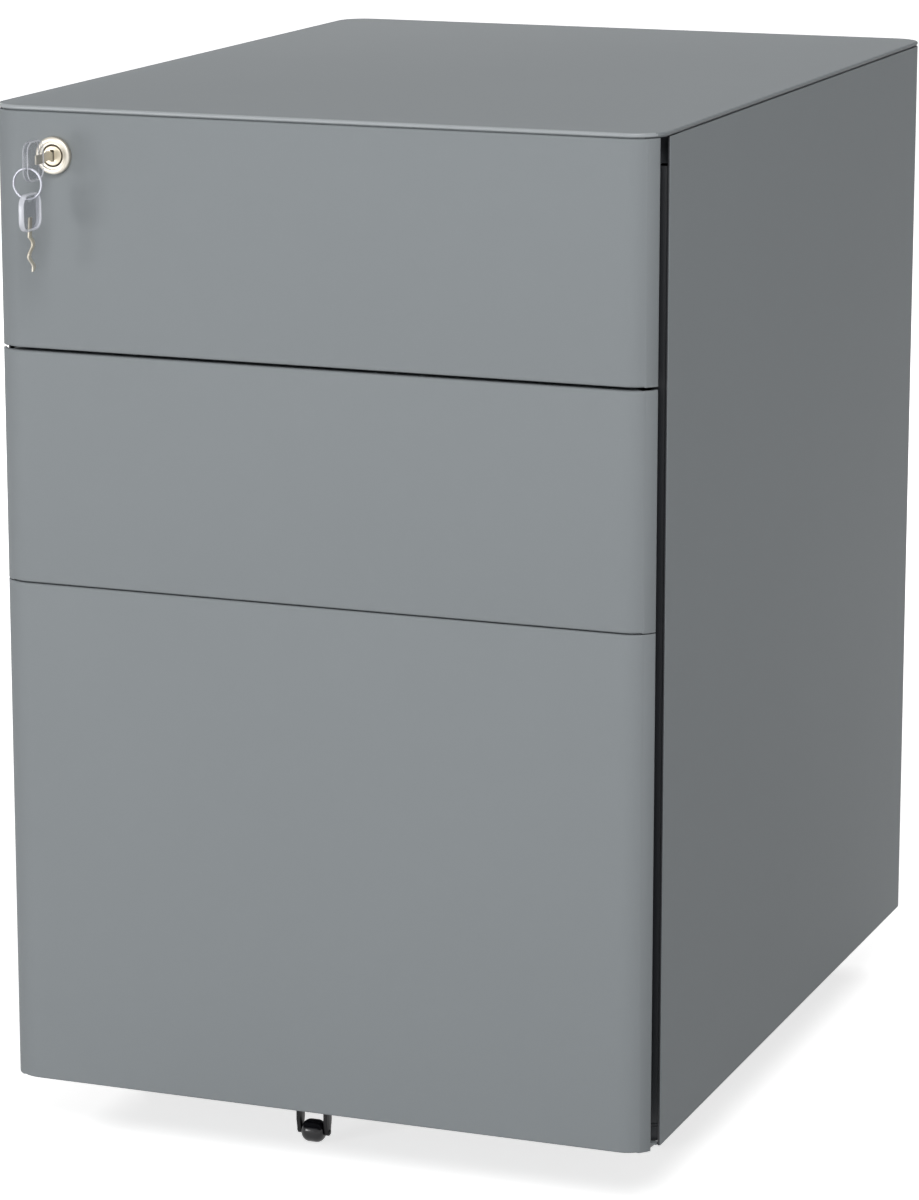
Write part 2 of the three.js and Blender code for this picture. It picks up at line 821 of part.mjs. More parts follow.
function castorAxle() {
  const legOuter = forkGap + forkSheet - lap;
  const end = forkGap + forkSheet + axleHeadThickness;
  const profile = [
    [0, -end],
    [axleHeadRadius, -end],
    [axleHeadRadius, -legOuter],
    [wheelAxleRadius, -legOuter],
    [wheelAxleRadius, legOuter],
    [axleHeadRadius, legOuter],
    [axleHeadRadius, end],
    [0, end],
  ].map(([radius, along]) => point(radius, along));
  const axle = alongX(new THREE.LatheGeometry(profile, pinSegments));
  return axle.translate(0, castorTrail, wheelRadius);
}

function castorWheel() {
  const half = wheelWidth / 2;
  const web = half - wheelRecess;
  const bore = boreFor(wheelAxleRadius, pinSegments);
  const rim = wheelRadius - wheelRim;
  const wheel = revolve([
    [bore, -half],
    [bore, half],
    [hubRadius, half],
    [hubRadius, web],
    [rim, web],
    [rim, half],
    [wheelRadius - wheelEdge, half],
    [wheelRadius, half - wheelEdge],
    [wheelRadius, -half + wheelEdge],
    [wheelRadius - wheelEdge, -half],
    [rim, -half],
    [rim, -web],
    [hubRadius, -web],
    [hubRadius, -half],
  ]);
  return alongX(wheel).translate(0, castorTrail, wheelRadius);
}

// Anti-tilt roller: a forked bracket under the file drawer with a crowned roller between its prongs
const rollerZ = rollerClearance + rollerRadius;
const prongGap = rollerWidth / 2 + seat;

function rollerBracket() {
  const top = boxFeet[2] - seat;
  const footUnderside = top - bracketFootThickness;
  const foot = raise(
    roundedRect(
      [-bracketFootWidth / 2, rollerDepth - bracketFootLength / 2],
      [bracketFootWidth / 2, rollerDepth + bracketFootLength / 2],
      bracketFootThickness,
    ),
    bracketFootThickness,
    footUnderside,
    smallCornerSegments,
  );
  const neck = block(
    [-prongGap - prongThickness, prongGap + prongThickness],
    [rollerDepth - prongWidth / 2, rollerDepth + prongWidth / 2],
    [footUnderside - bracketBaseHeight, footUnderside + lap],
  );
  const prong = new THREE.Shape();
  const tipHalf = (prongWidth / 2) * prongTaperShare;
  prong.moveTo(rollerDepth - prongWidth / 2, footUnderside - bracketBaseHeight + lap);
  prong.lineTo(rollerDepth - prongWidth / 2, rollerZ + rollerRadius);
  prong.lineTo(rollerDepth - tipHalf, rollerZ);
  prong.absarc(rollerDepth, rollerZ, tipHalf, Math.PI, 2 * Math.PI);
  prong.lineTo(rollerDepth + prongWidth / 2, rollerZ + rollerRadius);
  prong.lineTo(rollerDepth + prongWidth / 2, footUnderside - bracketBaseHeight + lap);
  const prongs = [-prongGap - prongThickness, prongGap].map((x) => runAcross(prong, prongThickness, x));
  const axleEnd = prongGap + prongThickness + rollerAxleHead;
  const axle = alongX(rodY(rollerAxleRadius, -axleEnd, axleEnd));
  axle.translate(0, rollerDepth, rollerZ);
  return join(foot, neck, ...prongs, axle).translate(-rollerOffset, 0, 0);
}

function antiTiltRoller() {
  const half = rollerWidth / 2;
  const bore = boreFor(rollerAxleRadius, pinSegments);
  const crown = Array.from({ length: crownSteps + 1 }, (_, step) => {
    const share = (2 * step) / crownSteps - 1;
    return [rollerRadius - rollerCrown * Math.abs(share) ** rollerCrownPower, half * -share];
  });
  const roller = alongX(revolve([[bore, -half], [bore, half], ...crown]));
  return roller.translate(-rollerOffset, rollerDepth, rollerZ);
}

// Assembly
const cabinet = new THREE.Group();
cabinet.position.y = (keyReach - cabinetDepth) / 2;

function add(name, geometry, finish, place = [0, 0, 0]) {
  const mesh = new THREE.Mesh(geometry, finish);
  mesh.name = name;
  mesh.position.set(...place);
  cabinet.add(mesh);
}

add('top_panel', topPanel(), finishes.panel);
add('back_panel', backPanel(), finishes.panel);
add('base_plate', basePlate(), finishes.inner);
add('base_front_fold', baseFrontFold(), finishes.inner);
add('base_rim', baseRim(), finishes.inner);
for (const [word, side] of [['left', -1], ['right', 1]]) {
  add(`side_panel_${word}`, sidePanel(side), finishes.panel);
  add(`slot_foot_${word}`, slotFoot(side), finishes.panel);
  const windows = side < 0 ? catchWindows : [];
  add(`front_upright_${word}`, upright(side, uprightFront, windows), finishes.inner);
  const rearFront = cabinetDepth - rearUprightFromBack;
  add(`rear_upright_${word}`, upright(side, rearFront, []), finishes.inner);
  slideHeights.forEach((height, index) => {
    const place = `${index + 1}_${word}`;
    add(`case_rail_${place}`, caseRail(side, height), finishes.zinc);
    add(`mid_rail_${place}`, midRail(side, height), finishes.zinc);
    add(`drawer_rail_${place}`, drawerRail(side, height), finishes.zinc);
  });
}

const lockHole = rodY(
  barrelRadius + barrelHolePlay,
  -overrun,
  panDepth + overrun,
  roundSegments,
).translate(lockX, 0, lockZ);
const fronts = [
  [frontFoot1, frontTop1, [lockHole]],
  [frontFoot2, frontTop2, []],
  [frontFoot3, frontTop3, []],
];
fronts.forEach(([foot, top, holes], index) => {
  add(`drawer_front_${index + 1}`, drawerFront(foot, top, holes), finishes.panel);
  add(`drawer_box_${index + 1}`, drawerBox(boxFeet[index], boxHeights[index]), finishes.drawer);
});

const lockPlace = [lockX, 0, lockZ];
add('lock_housing', lockHousing(), finishes.nickel, lockPlace);
add('lock_plug', lockPlug(), finishes.nickel, lockPlace);
add('lock_cam', lockCam(), finishes.zinc, lockPlace);
add('lock_bar', lockBar(), finishes.zinc);
add('key_blade', keyBlade(), finishes.nickel, lockPlace);
add('key_bow', keyBow(), finishes.smoke, lockPlace);
add('key_ring', keyRing(), finishes.nickel, [lockX, 0, 0]);
add('spare_key', spareKey(), finishes.smoke, [lockX, 0, 0]);

const castorX = halfWidth - castorFromSide;
for (const [row, depth] of [['front', frontCastorDepth], ['rear', cabinetDepth - rearCastorFromBack]]) {
  for (const [word, side] of [['left', -1], ['right', 1]]) {
    const place = [side * castorX, depth, 0];
    add(`castor_plate_${row}_${word}`, castorPlate(), finishes.zinc, place);
    add(`castor_fork_${row}_${word}`, castorFork(), finishes.plastic, place);
    add(`castor_wheel_${row}_${word}`, castorWheel(), finishes.plastic, place);
  }
}

add('roller_bracket', rollerBracket(), finishes.plastic);
add('anti_tilt_roller', antiTiltRoller(), finishes.plastic);

const part = new THREE.Group();
part.add(cabinet);

export default part;
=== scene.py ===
import json
import math

import bmesh
import bpy
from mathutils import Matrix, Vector

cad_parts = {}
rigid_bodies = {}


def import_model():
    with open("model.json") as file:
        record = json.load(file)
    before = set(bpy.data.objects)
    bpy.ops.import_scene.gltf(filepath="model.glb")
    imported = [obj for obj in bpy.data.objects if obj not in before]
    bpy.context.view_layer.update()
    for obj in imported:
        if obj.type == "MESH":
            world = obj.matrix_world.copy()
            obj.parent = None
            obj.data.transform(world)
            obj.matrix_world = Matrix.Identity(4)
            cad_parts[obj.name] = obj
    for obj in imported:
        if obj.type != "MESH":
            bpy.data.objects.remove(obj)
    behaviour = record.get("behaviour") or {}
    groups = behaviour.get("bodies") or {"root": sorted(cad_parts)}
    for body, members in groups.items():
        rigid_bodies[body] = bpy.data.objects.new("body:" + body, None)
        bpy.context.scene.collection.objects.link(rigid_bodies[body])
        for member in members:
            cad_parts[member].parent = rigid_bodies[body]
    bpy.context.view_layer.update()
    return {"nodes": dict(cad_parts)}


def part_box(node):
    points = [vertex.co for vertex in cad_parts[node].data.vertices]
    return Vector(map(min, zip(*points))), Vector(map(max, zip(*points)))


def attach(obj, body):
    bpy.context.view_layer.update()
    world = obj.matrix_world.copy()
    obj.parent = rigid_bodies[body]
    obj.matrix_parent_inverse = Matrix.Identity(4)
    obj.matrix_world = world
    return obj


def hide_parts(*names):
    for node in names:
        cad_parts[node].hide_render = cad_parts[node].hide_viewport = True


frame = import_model()

# %% [markdown]
# Most sizes are read from the solids, so a piece always lands on what carries it. `span` gives where a
# solid starts and ends along one axis. The rest are sizes that a maker would set: sheet thickness, folds.
# %% Sizes
MM = 0.001
X, Y, Z = 0, 1, 2


def span(node, axis):
    low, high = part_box(node)
    return low[axis], high[axis]


def middle_of(low, high):
    return [(a + b) / 2 for a, b in zip(low, high)]


front_face = span("drawer_front_1", Y)[0]
half_width = span("top_panel", X)[1]
case_back = span("top_panel", Y)[1]
case_top = span("top_panel", Z)[1]
lock_x, _, lock_z = middle_of(*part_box("lock_plug"))
lock_axis = (lock_x, 0, lock_z)
corner = 20 * MM  # radius of the case's upright corners
flat_half = half_width - corner  # half the width between those corners
sheet = 1 * MM
hemmed_sheet = 0.96 * sheet  # a hair thinner, so that the two layers of a hem stay apart
fold = 1.4 * MM
edge_break = 0.2 * MM
touching = 0.005 * MM  # corners nearer than this are one corner
print(f"case: {2 * half_width:.3f} wide, {case_back - front_face:.3f} deep, top at {case_top:.3f}")

# %% [markdown]
# Blender's operators act on whatever is selected, so every piece starts from a clean selection. In edit
# mode the parts to work on are picked by their place, because that still holds when a size changes.
# %% Picking things up and putting them down
def edit():
    bpy.ops.object.mode_set(mode="EDIT")
    bpy.ops.mesh.select_all(action="SELECT")


def stop_editing():
    bpy.ops.object.mode_set(mode="OBJECT")


def deselect():
    if bpy.context.mode != "OBJECT":
        stop_editing()
    bpy.ops.object.select_all(action="DESELECT")


def pick(*pieces):
    deselect()
    for piece in pieces:
        piece.select_set(True)
    bpy.context.view_layer.objects.active = pieces[0]
    return pieces[0]


def edited_mesh():
    return bmesh.from_edit_mesh(bpy.context.edit_object.data)


def keep_changes():
    bmesh.update_edit_mesh(bpy.context.edit_object.data)


def choose(kind, test):
    """In edit mode, selects the vertices, edges or faces with every corner at a place that passes."""
    mesh = edited_mesh()
    bpy.ops.mesh.select_mode(type=kind)
    bpy.ops.mesh.select_all(action="DESELECT")
    for element in {"VERT": mesh.verts, "EDGE": mesh.edges, "FACE": mesh.faces}[kind]:
        vertices = [element] if kind == "VERT" else element.verts
        if all(test(vertex.co) for vertex in vertices):
            element.select_set(True)
    keep_changes()


def near(value, target, slack=0.02 * MM):
    return abs(value - target) < slack

# %% [markdown]
# Sheet metal is drawn, swept, folded and rounded, and each of these is one operator. `join_seams` comes
# after them: corners that meet become one, and only then can the faces agree on which side is outside.
# %% Working the metal
def extrude(*move):
    bpy.ops.mesh.extrude_region_move(TRANSFORM_OT_translate={"value": move})


def spin(centre, degrees, steps, axis=(0, 0, 1)):
    """Sweeps what is selected round an axis; seen against the axis, positive is anticlockwise."""
    bpy.ops.mesh.spin(steps=steps, angle=-math.radians(degrees), center=centre, axis=axis)


def round_edges(radius, segments, clamp=False):
    bpy.ops.mesh.bevel(offset=radius, segments=segments, affect="EDGES", clamp_overlap=clamp)


def flatten(axis, place):
    """Brings what is selected onto one plane across an axis."""
    centre = [0, 0, 0]
    centre[axis] = place
    scale = [1, 1, 1]
    scale[axis] = 0
    bpy.ops.transform.resize(value=scale, center_override=centre)


def join_seams():
    bpy.ops.mesh.select_all(action="SELECT")
    bpy.ops.mesh.remove_doubles(threshold=touching)
    bpy.ops.mesh.normals_make_consistent(inside=False)


def face_out(test, direction):
    """Makes the faces agree, then turns them so that those at the tested place look along the direction."""
    join_seams()
    choose("FACE", test)
    mesh = edited_mesh()
    looks = sum((face.normal for face in mesh.faces if face.select), Vector())
    bpy.ops.mesh.select_all(action="SELECT")
    if looks.dot(Vector(direction)) < 0:
        bpy.ops.mesh.flip_normals()

# %% [markdown]
# A primitive is only the blank that a piece is cut from. Each is added at its real size and place, and its
# object is brought back to the origin at once, so that all later numbers are in the cabinet's own frame.
# %% Blanks
def settle():
    bpy.ops.object.transform_apply(location=True, rotation=True, scale=True)
    return bpy.context.object


def box_blank(low, high):
    deselect()
    size = [b - a for a, b in zip(low, high)]
    bpy.ops.mesh.primitive_cube_add(size=1, location=middle_of(low, high), scale=size)
    return settle()


TURNS = {X: (0, math.pi / 2, 0), Y: (math.pi / 2, 0, 0), Z: (0, 0, 0)}


def round_blank(radius, start, end, centre, axis=Y, sides=48):
    """A cylinder along an axis, from start to end on it; centre gives its place across the axis."""
    deselect()
    place = list(centre)
    place[axis] = (start + end) / 2
    bpy.ops.mesh.primitive_cylinder_add(
        vertices=sides, radius=radius, depth=abs(end - start), location=place, rotation=TURNS[axis]
    )
    return settle()


def sheet_blank(low, high, faces):
    """A flat rectangle; faces is the way that its outer side looks: -Y, +X or +Z."""
    deselect()
    width, length, height = [b - a for a, b in zip(low, high)]
    turn, scale = {
        "-Y": ((math.pi / 2, 0, 0), (width, height, 1)),
        "+X": ((math.pi / 2, 0, math.pi / 2), (length, height, 1)),
        "+Z": ((0, 0, 0), (width, length, 1)),
    }[faces]
    bpy.ops.mesh.primitive_plane_add(size=1, location=middle_of(low, high), rotation=turn)
    bpy.context.object.scale = scale
    return settle()

# %% [markdown]
# Thickness, eased edges and drilled holes come from modifiers. Each is applied at once, so that the next
# step works on the real shape, and a hole is cut by a second piece that is thrown away afterwards.
# %% Thickness, edges and holes
def modify(kind, **settings):
    piece = bpy.context.object
    modifier = piece.modifiers.new(kind.title(), kind)
    for key, value in settings.items():
        setattr(modifier, key, value)
    bpy.ops.object.modifier_apply(modifier=modifier.name)
    return piece


def thicken(thickness):
    """Gives a sheet its thickness, behind the side that its faces look to."""
    return modify("SOLIDIFY", thickness=thickness, offset=-1, use_even_offset=True)


def soften(width, segments=3, angle=50):
    """Eases every edge that turns by more than an angle in degrees."""
    limit = math.radians(angle)
    return modify("BEVEL", width=width, segments=segments, limit_method="ANGLE", angle_limit=limit)


def merge(*pieces):
    pick(*pieces)
    bpy.ops.object.join()
    return bpy.context.object


def carve(piece, cutter):
    """Takes the cutter's shape out of the piece."""
    pick(piece)
    modify("BOOLEAN", operation="DIFFERENCE", object=cutter, solver="EXACT")
    pick(cutter)
    bpy.ops.object.delete()
    return pick(piece)

# %% [markdown]
# Every finished piece goes through the same hands: it is named, the shading is smoothed over shallow
# folds and kept crisp at sharp ones, and the piece is told which body it moves with.
# %% Finishing hands
def coat(piece, *finishes):
    piece.data.materials.clear()
    for material in finishes:
        piece.data.materials.append(material)


def paint(piece, index, test):
    """Gives the faces at a place another of the piece's finishes."""
    pick(piece)
    edit()
    choose("FACE", test)
    mesh = edited_mesh()
    for face in mesh.faces:
        if face.select:
            face.material_index = index
    keep_changes()
    stop_editing()


def volume_of(piece):
    measured = bmesh.new()
    measured.from_mesh(piece.data)
    volume = measured.calc_volume(signed=True)
    measured.free()
    return volume


def finish_piece(piece, name, body, finishes=(), stands_for=(), smooth=35):
    """Names a piece and ties it to its body; without finishes it keeps those that it has."""
    pick(piece)
    piece.name = piece.data.name = name
    if volume_of(piece) < 0:
        edit()
        bpy.ops.mesh.flip_normals()
        stop_editing()
    bpy.ops.object.shade_smooth_by_angle(angle=math.radians(smooth))
    if finishes:
        coat(piece, *finishes)
    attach(piece, body)
    if stands_for:
        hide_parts(*stands_for)
    print(f"{name}: {len(piece.data.polygons)} faces, {volume_of(piece) * 1e6:.2f} cm3")

# %% [markdown]
# Finishes are built from a few kinds of node again and again: noise, a sum or product, and a colour made
# lighter or darker. A small helper for each keeps the recipes below short enough to read.
# %% Node helpers
def link(tree, source, target):
    tree.links.new(source, target)


def noise(tree, coordinates, scale, detail, roughness):
    node = tree.nodes.new("ShaderNodeTexNoise")
    node.inputs["Scale"].default_value = scale
    node.inputs["Detail"].default_value = detail
    node.inputs["Roughness"].default_value = roughness
    link(tree, coordinates, node.inputs["Vector"])
    return node.outputs["Fac"]


def calculate(tree, operation, first, second, third=None):
    node = tree.nodes.new("ShaderNodeMath")
    node.operation = operation
    for socket, value in zip(node.inputs, (first, second, third)):
        if value is None:
            continue
        if isinstance(value, (int, float)):
            socket.default_value = value
        else:
            link(tree, value, socket)
    return node.outputs[0]


def swing(tree, value, strength):
    """Noise, which runs from 0 to 1, brought to both sides of zero at a strength."""
    return calculate(tree, "MULTIPLY", calculate(tree, "SUBTRACT", value, 0.5), strength)


def shade(tree, colour, change):
    """The colour, made lighter or darker by a change around zero."""
    node = tree.nodes.new("ShaderNodeVectorMath")
    node.operation = "SCALE"
    link(tree, colour, node.inputs[0])
    link(tree, calculate(tree, "ADD", change, 1.0), node.inputs["Scale"])
    return node.outputs[0]

# %% [markdown]
# Powder coat is a baked skin of fine plastic grains: seen from near it has a faint orange peel and
# specks, from far a hardly visible clouding. The grain group makes all three from noise, and each coated
# material uses it with its own strength. It reads Object coordinates, so it never slides.
# %% A node group for grain
def new_group(name, takes):
    """A node group to fill; whatever it takes, it gives a colour, a roughness and a height."""
    group = bpy.data.node_groups.new(name, "ShaderNodeTree")
    for label, kind, value in takes:
        socket = group.interface.new_socket(label, in_out="INPUT", socket_type=kind)
        if value is not None:
            socket.default_value = value
    gives = {"Colour": "NodeSocketColor", "Roughness": "NodeSocketFloat", "Height": "NodeSocketFloat"}
    for label, kind in gives.items():
        group.interface.new_socket(label, in_out="OUTPUT", socket_type=kind)
    return group, group.nodes.new("NodeGroupInput"), group.nodes.new("NodeGroupOutput")


def make_grain():
    takes = [
        ("Vector", "NodeSocketVector", None),
        ("Colour", "NodeSocketColor", (0.5, 0.5, 0.5, 1)),
        ("Clouding", "NodeSocketFloat", 0.03),
        ("Specks", "NodeSocketFloat", 0.04),
        ("Roughness", "NodeSocketFloat", 0.5),
    ]
    group, entry, leave = new_group("grain", takes)
    place = entry.outputs["Vector"]
    cloud = noise(group, place, scale=9, detail=3, roughness=0.6)
    speck = noise(group, place, scale=1700, detail=2, roughness=0.6)
    peel = noise(group, place, scale=520, detail=1, roughness=0.4)
    cloud_part = swing(group, cloud, entry.outputs["Clouding"])
    speck_part = swing(group, speck, entry.outputs["Specks"])
    change = calculate(group, "ADD", cloud_part, speck_part)
    link(group, shade(group, entry.outputs["Colour"], change), leave.inputs["Colour"])
    speck_dulls, speck_stands = 1.5, 0.35
    rough = calculate(group, "MULTIPLY_ADD", speck_part, speck_dulls, entry.outputs["Roughness"])
    link(group, rough, leave.inputs["Roughness"])
    height = calculate(group, "MULTIPLY_ADD", speck, speck_stands, peel)
    link(group, height, leave.inputs["Height"])
    return group


grain = make_grain()
print("groups:", [group.name for group in bpy.data.node_groups])

# %% [markdown]
# Colours are written as they look on a screen, in hex, and turned into the linear values that light is
# added up in. A material is a Principled BSDF with a finish group in front of its colour, roughness and
# bump. Each has its own gloss, set on the shader itself.
# %% Coats and plastics
def linear(code):
    parts = [int(code[i:i + 2], 16) / 255 for i in (1, 3, 5)]
    return [p / 12.92 if p <= 0.04045 else ((p + 0.055) / 1.055) ** 2.4 for p in parts] + [1]


def new_material(name):
    material = bpy.data.materials.new(name)
    material.use_nodes = True
    tree = material.node_tree
    shader = tree.nodes["Principled BSDF"]
    places = tree.nodes.new("ShaderNodeTexCoord").outputs["Object"]
    return material, tree, shader, places


def surfaced(name, group, settings, relief):
    """A material whose surface comes from a finish group; relief is how far its bump stands out."""
    material, tree, shader, places = new_material(name)
    node = tree.nodes.new("ShaderNodeGroup")
    node.node_tree = group
    link(tree, places, node.inputs["Vector"])
    for label, value in settings.items():
        node.inputs[label].default_value = value
    link(tree, node.outputs["Colour"], shader.inputs["Base Color"])
    link(tree, node.outputs["Roughness"], shader.inputs["Roughness"])
    bump = tree.nodes.new("ShaderNodeBump")
    bump.inputs["Distance"].default_value = relief
    link(tree, node.outputs["Height"], bump.inputs["Height"])
    link(tree, bump.outputs["Normal"], shader.inputs["Normal"])
    return material, shader


def coated(name, code, roughness, clouding=0.03, specks=0.05, peel=0.02 * MM, gloss=0.5):
    settings = {"Colour": linear(code), "Roughness": roughness, "Clouding": clouding, "Specks": specks}
    material, shader = surfaced(name, grain, settings, peel)
    shader.inputs["Specular IOR Level"].default_value = gloss
    return material


panel_coat = coated("panel_powder_coat", "#8c9194", 0.55, gloss=0.1)
# Lighter than the panel coat: a painted highlight for the lip's bright line; its lower roughness is real
# gloss.
lip_highlight_coat = coated("panel_coat_lip_highlight", "#a2a7aa", 0.35)
# The frame's own dark coat; on the side walls' hems its dark is painted shade in the finger slots.
frame_and_slot_shade_coat = coated("frame_black_coat_and_slot_shade", "#24262a", 0.5, specks=0.08)
# Dark grey for the lid's skirt: painted shade at the top of each finger slot.
skirt_shade_coat = coated("skirt_painted_shade", "#54575c", 0.5, specks=0.06)
drawer_coat = coated("drawer_grey_coat", "#868a8d", 0.5)
nylon = coated("black_nylon", "#121214", 0.4, clouding=0.1, specks=0.2, peel=0.03 * MM, gloss=0.3)
tread = coated("black_wheel_plastic", "#1b1b20", 0.16, clouding=0.1, specks=0.1, peel=0.008 * MM)
print("coats:", panel_coat.name, frame_and_slot_shade_coat.name, drawer_coat.name, nylon.name, tread.name)

# %% [markdown]
# Metals. Zinc plating is bright but never even: passivation leaves broad warm and cool clouds, and the
# rolled strip below it shows fine lines along its length. The plating group makes both.
# %% A node group for plated metal
MIX_A, MIX_B, MIX_RESULT = 6, 7, 2  # a mix node's colour sockets, which share their names with others


def make_plating():
    takes = [
        ("Vector", "NodeSocketVector", None),
        ("Cool", "NodeSocketColor", (0.6, 0.6, 0.62, 1)),
        ("Warm", "NodeSocketColor", (0.62, 0.6, 0.55, 1)),
        ("Roughness", "NodeSocketFloat", 0.3),
        ("Lines", "NodeSocketFloat", 0.1),
    ]
    group, entry, leave = new_group("plating", takes)
    place = entry.outputs["Vector"]
    stretch = group.nodes.new("ShaderNodeVectorMath")
    stretch.operation = "MULTIPLY"
    stretch.inputs[1].default_value = (1, 0.03, 1)
    link(group, place, stretch.inputs[0])
    lines = noise(group, stretch.outputs[0], scale=2600, detail=2, roughness=0.5)
    clouds = noise(group, place, scale=45, detail=3, roughness=0.55)
    mix = group.nodes.new("ShaderNodeMix")
    mix.data_type = "RGBA"
    link(group, clouds, mix.inputs["Factor"])
    link(group, entry.outputs["Cool"], mix.inputs[MIX_A])
    link(group, entry.outputs["Warm"], mix.inputs[MIX_B])
    line_part = swing(group, lines, entry.outputs["Lines"])
    link(group, shade(group, mix.outputs[MIX_RESULT], line_part), leave.inputs["Colour"])
    cloud_dulls = 0.12
    rough = calculate(group, "MULTIPLY_ADD", clouds, cloud_dulls, entry.outputs["Roughness"])
    link(group, calculate(group, "ADD", rough, line_part), leave.inputs["Roughness"])
    link(group, lines, leave.inputs["Height"])
    return group


plating = make_plating()


def plated(name, cool, warm, roughness, lines=0.12, metallic=1.0):
    settings = {"Cool": linear(cool), "Warm": linear(warm), "Roughness": roughness, "Lines": lines}
    material, shader = surfaced(name, plating, settings, relief=0.004 * MM)
    shader.inputs["Metallic"].default_value = metallic
    return material


zinc = plated("bright_zinc", "#c3c6ca", "#c9c4b8", 0.28)
nickel = plated("satin_nickel", "#d3d0c8", "#d2cabb", 0.42, lines=0.03)
plug_metal = plated("warm_nickel", "#d6cfc0", "#cec2aa", 0.42, lines=0.04)
key_steel = plated("key_nickel", "#cfccc4", "#c9c0ab", 0.4, lines=0.06, metallic=0.5)
wire = plated("ring_steel", "#b0b2ba", "#abacb4", 0.45, lines=0.02)
print("metals:", zinc.name, nickel.name, plug_metal.name, key_steel.name, wire.name)

# %% [markdown]
# The key bows are moulded in a clear smoke-grey plastic. Their faces let the panel behind show through.
# Their thick rims look almost white: that is a painted highlight in the rim's near-white colour, so face
# and rim are two materials on one piece.
# %% Smoke plastic
def smoky(name, code, roughness, alpha):
    material = coated(name, code, roughness, clouding=0.06, specks=0.03, peel=0.01 * MM)
    material.node_tree.nodes["Principled BSDF"].inputs["Alpha"].default_value = alpha
    return material


smoke_face = smoky("smoke_plastic_face", "#7f828b", 0.25, 0.26)
# The rim's near-white colour is a painted highlight.
smoke_rim_highlight = smoky("smoke_plastic_rim_painted_highlight", "#e4e6ee", 0.2, 0.7)
print("plastics:", smoke_face.name, smoke_rim_highlight.name)

# %% [markdown]
# The solids take their finish from the table below, by the first word or two of their names. A solid's
# object isn't moved and its mesh isn't touched.
# %% Dress the solids
DRESS = {
    "top_panel": panel_coat,
    "back_panel": panel_coat,
    "side_panel": panel_coat,
    "drawer_front": panel_coat,
    "slot_foot": panel_coat,
    "base_": frame_and_slot_shade_coat,
    "front_upright": frame_and_slot_shade_coat,
    "rear_upright": frame_and_slot_shade_coat,
    "drawer_box": drawer_coat,
    "case_rail": zinc,
    "mid_rail": zinc,
    "drawer_rail": zinc,
    "lock_housing": nickel,
    "lock_plug": nickel,
    "lock_cam": zinc,
    "lock_bar": frame_and_slot_shade_coat,
    "key_blade": key_steel,
    "key_bow": smoke_rim_highlight,
    "spare_key": smoke_rim_highlight,
    "key_ring": wire,
    "castor_plate": zinc,
    "castor_fork": nylon,
    "castor_wheel": tread,
    "roller_bracket": nylon,
    "anti_tilt_roller": tread,
}
for node_name, node in frame["nodes"].items():
    coat(node, next(finish for start, finish in DRESS.items() if node_name.startswith(start)))
print("dressed:", len(frame["nodes"]), "solids")

# %% [markdown]
# A drawer front is one sheet. It starts as a flat rectangle; both ends are swept round the cabinet's corner
# until they stop at the finger slot, and the last strip is turned back flat on itself. That fold is the
# smooth edge that the fingers pull at, and it's why a light line runs down beside each dark slot.
# %% Drawer fronts: the curved skin
front_sweep = 60  # degrees that a front goes round the corner
front_hem = 24  # degrees that its end is turned back


def front_skin(foot, top):
    skin = sheet_blank((-flat_half, front_face, foot), (flat_half, front_face, top), "-Y")
    reach = corner - sheet
    angle = math.radians(front_sweep)
    for side in (-1, 1):
        edit()
        corner_point = (side * flat_half, front_face + corner, 0)
        choose("EDGE", lambda at: near(at.x, side * flat_half))
        spin(corner_point, side * front_sweep, steps=21)
        fold_x = side * (flat_half + reach * math.sin(angle))
        fold_y = front_face + corner - reach * math.cos(angle)
        spin((fold_x, fold_y, 0), side * 180, steps=8)
        spin(corner_point, -side * front_hem, steps=8)
        stop_editing()
    return skin

# %% [markdown]
# Top and foot are flanged: the outer edge of the skin is pulled back 18 mm and squared off behind. The
# bend gets a real radius, because a crease would catch no light and the gaps would look cut with a knife.
# %% Drawer fronts: flanges
pan_depth = 18 * MM
pan_half = flat_half - 2 * MM
pan_back = front_face + pan_depth


def front_flanges(foot, top):
    single_layer_end = flat_half + corner * math.sin(math.radians(front_sweep - front_hem)) + 0.1 * MM
    for height in (foot, top):
        def on_skin(at):
            arc = min(max(abs(at.x) - flat_half, 0), corner)
            outer = front_face + corner - math.sqrt(corner ** 2 - arc ** 2)
            return near(at.z, height) and abs(at.x) < single_layer_end and near(at.y, outer, 0.2 * MM)

        def on_flange_end(at):
            return near(at.z, height) and near(at.y, pan_back)

        edit()
        choose("EDGE", on_skin)
        extrude(0, pan_depth, 0)
        flatten(Y, pan_back)
        for side in (-1, 1):
            choose("VERT", lambda at: on_flange_end(at) and side * at.x > pan_half)
            flatten(X, side * pan_half)
        choose("EDGE", on_skin)
        round_edges(fold, 5, clamp=True)
        stop_editing()

# %% [markdown]
# Behind the skin two returns close the pan at its sides, so that an open drawer shows a folded box section
# there and no bare edge. The top front is drilled through skin and left return for the lock.
# %% Drawer fronts: returns, thickness and edges
DRAWERS = (1, 2, 3)  # from the top down
return_width = 20 * MM
return_gap = 0.6 * MM
lock_hole_radius = 8.6 * MM


def front_return(side, foot, top):
    at_side = side * pan_half
    low = (at_side, front_face + sheet, foot + return_gap)
    wing = sheet_blank(low, (at_side, pan_back, top - return_gap), "+X")
    edit()
    choose("EDGE", lambda at: near(at.y, pan_back))
    extrude(-side * return_width, 0, 0)
    choose("EDGE", lambda at: near(at.y, pan_back) and near(at.x, at_side))
    round_edges(fold, 4)
    face_out(lambda at: near(at.x, at_side), (side, 0, 0))
    stop_editing()
    pick(wing)
    return thicken(sheet)


def bored(piece, radius, start, end, sides=48):
    """The piece with a round hole along the lock's axis, from start to end on it."""
    return carve(piece, round_blank(radius, start, end, lock_axis, sides=sides))


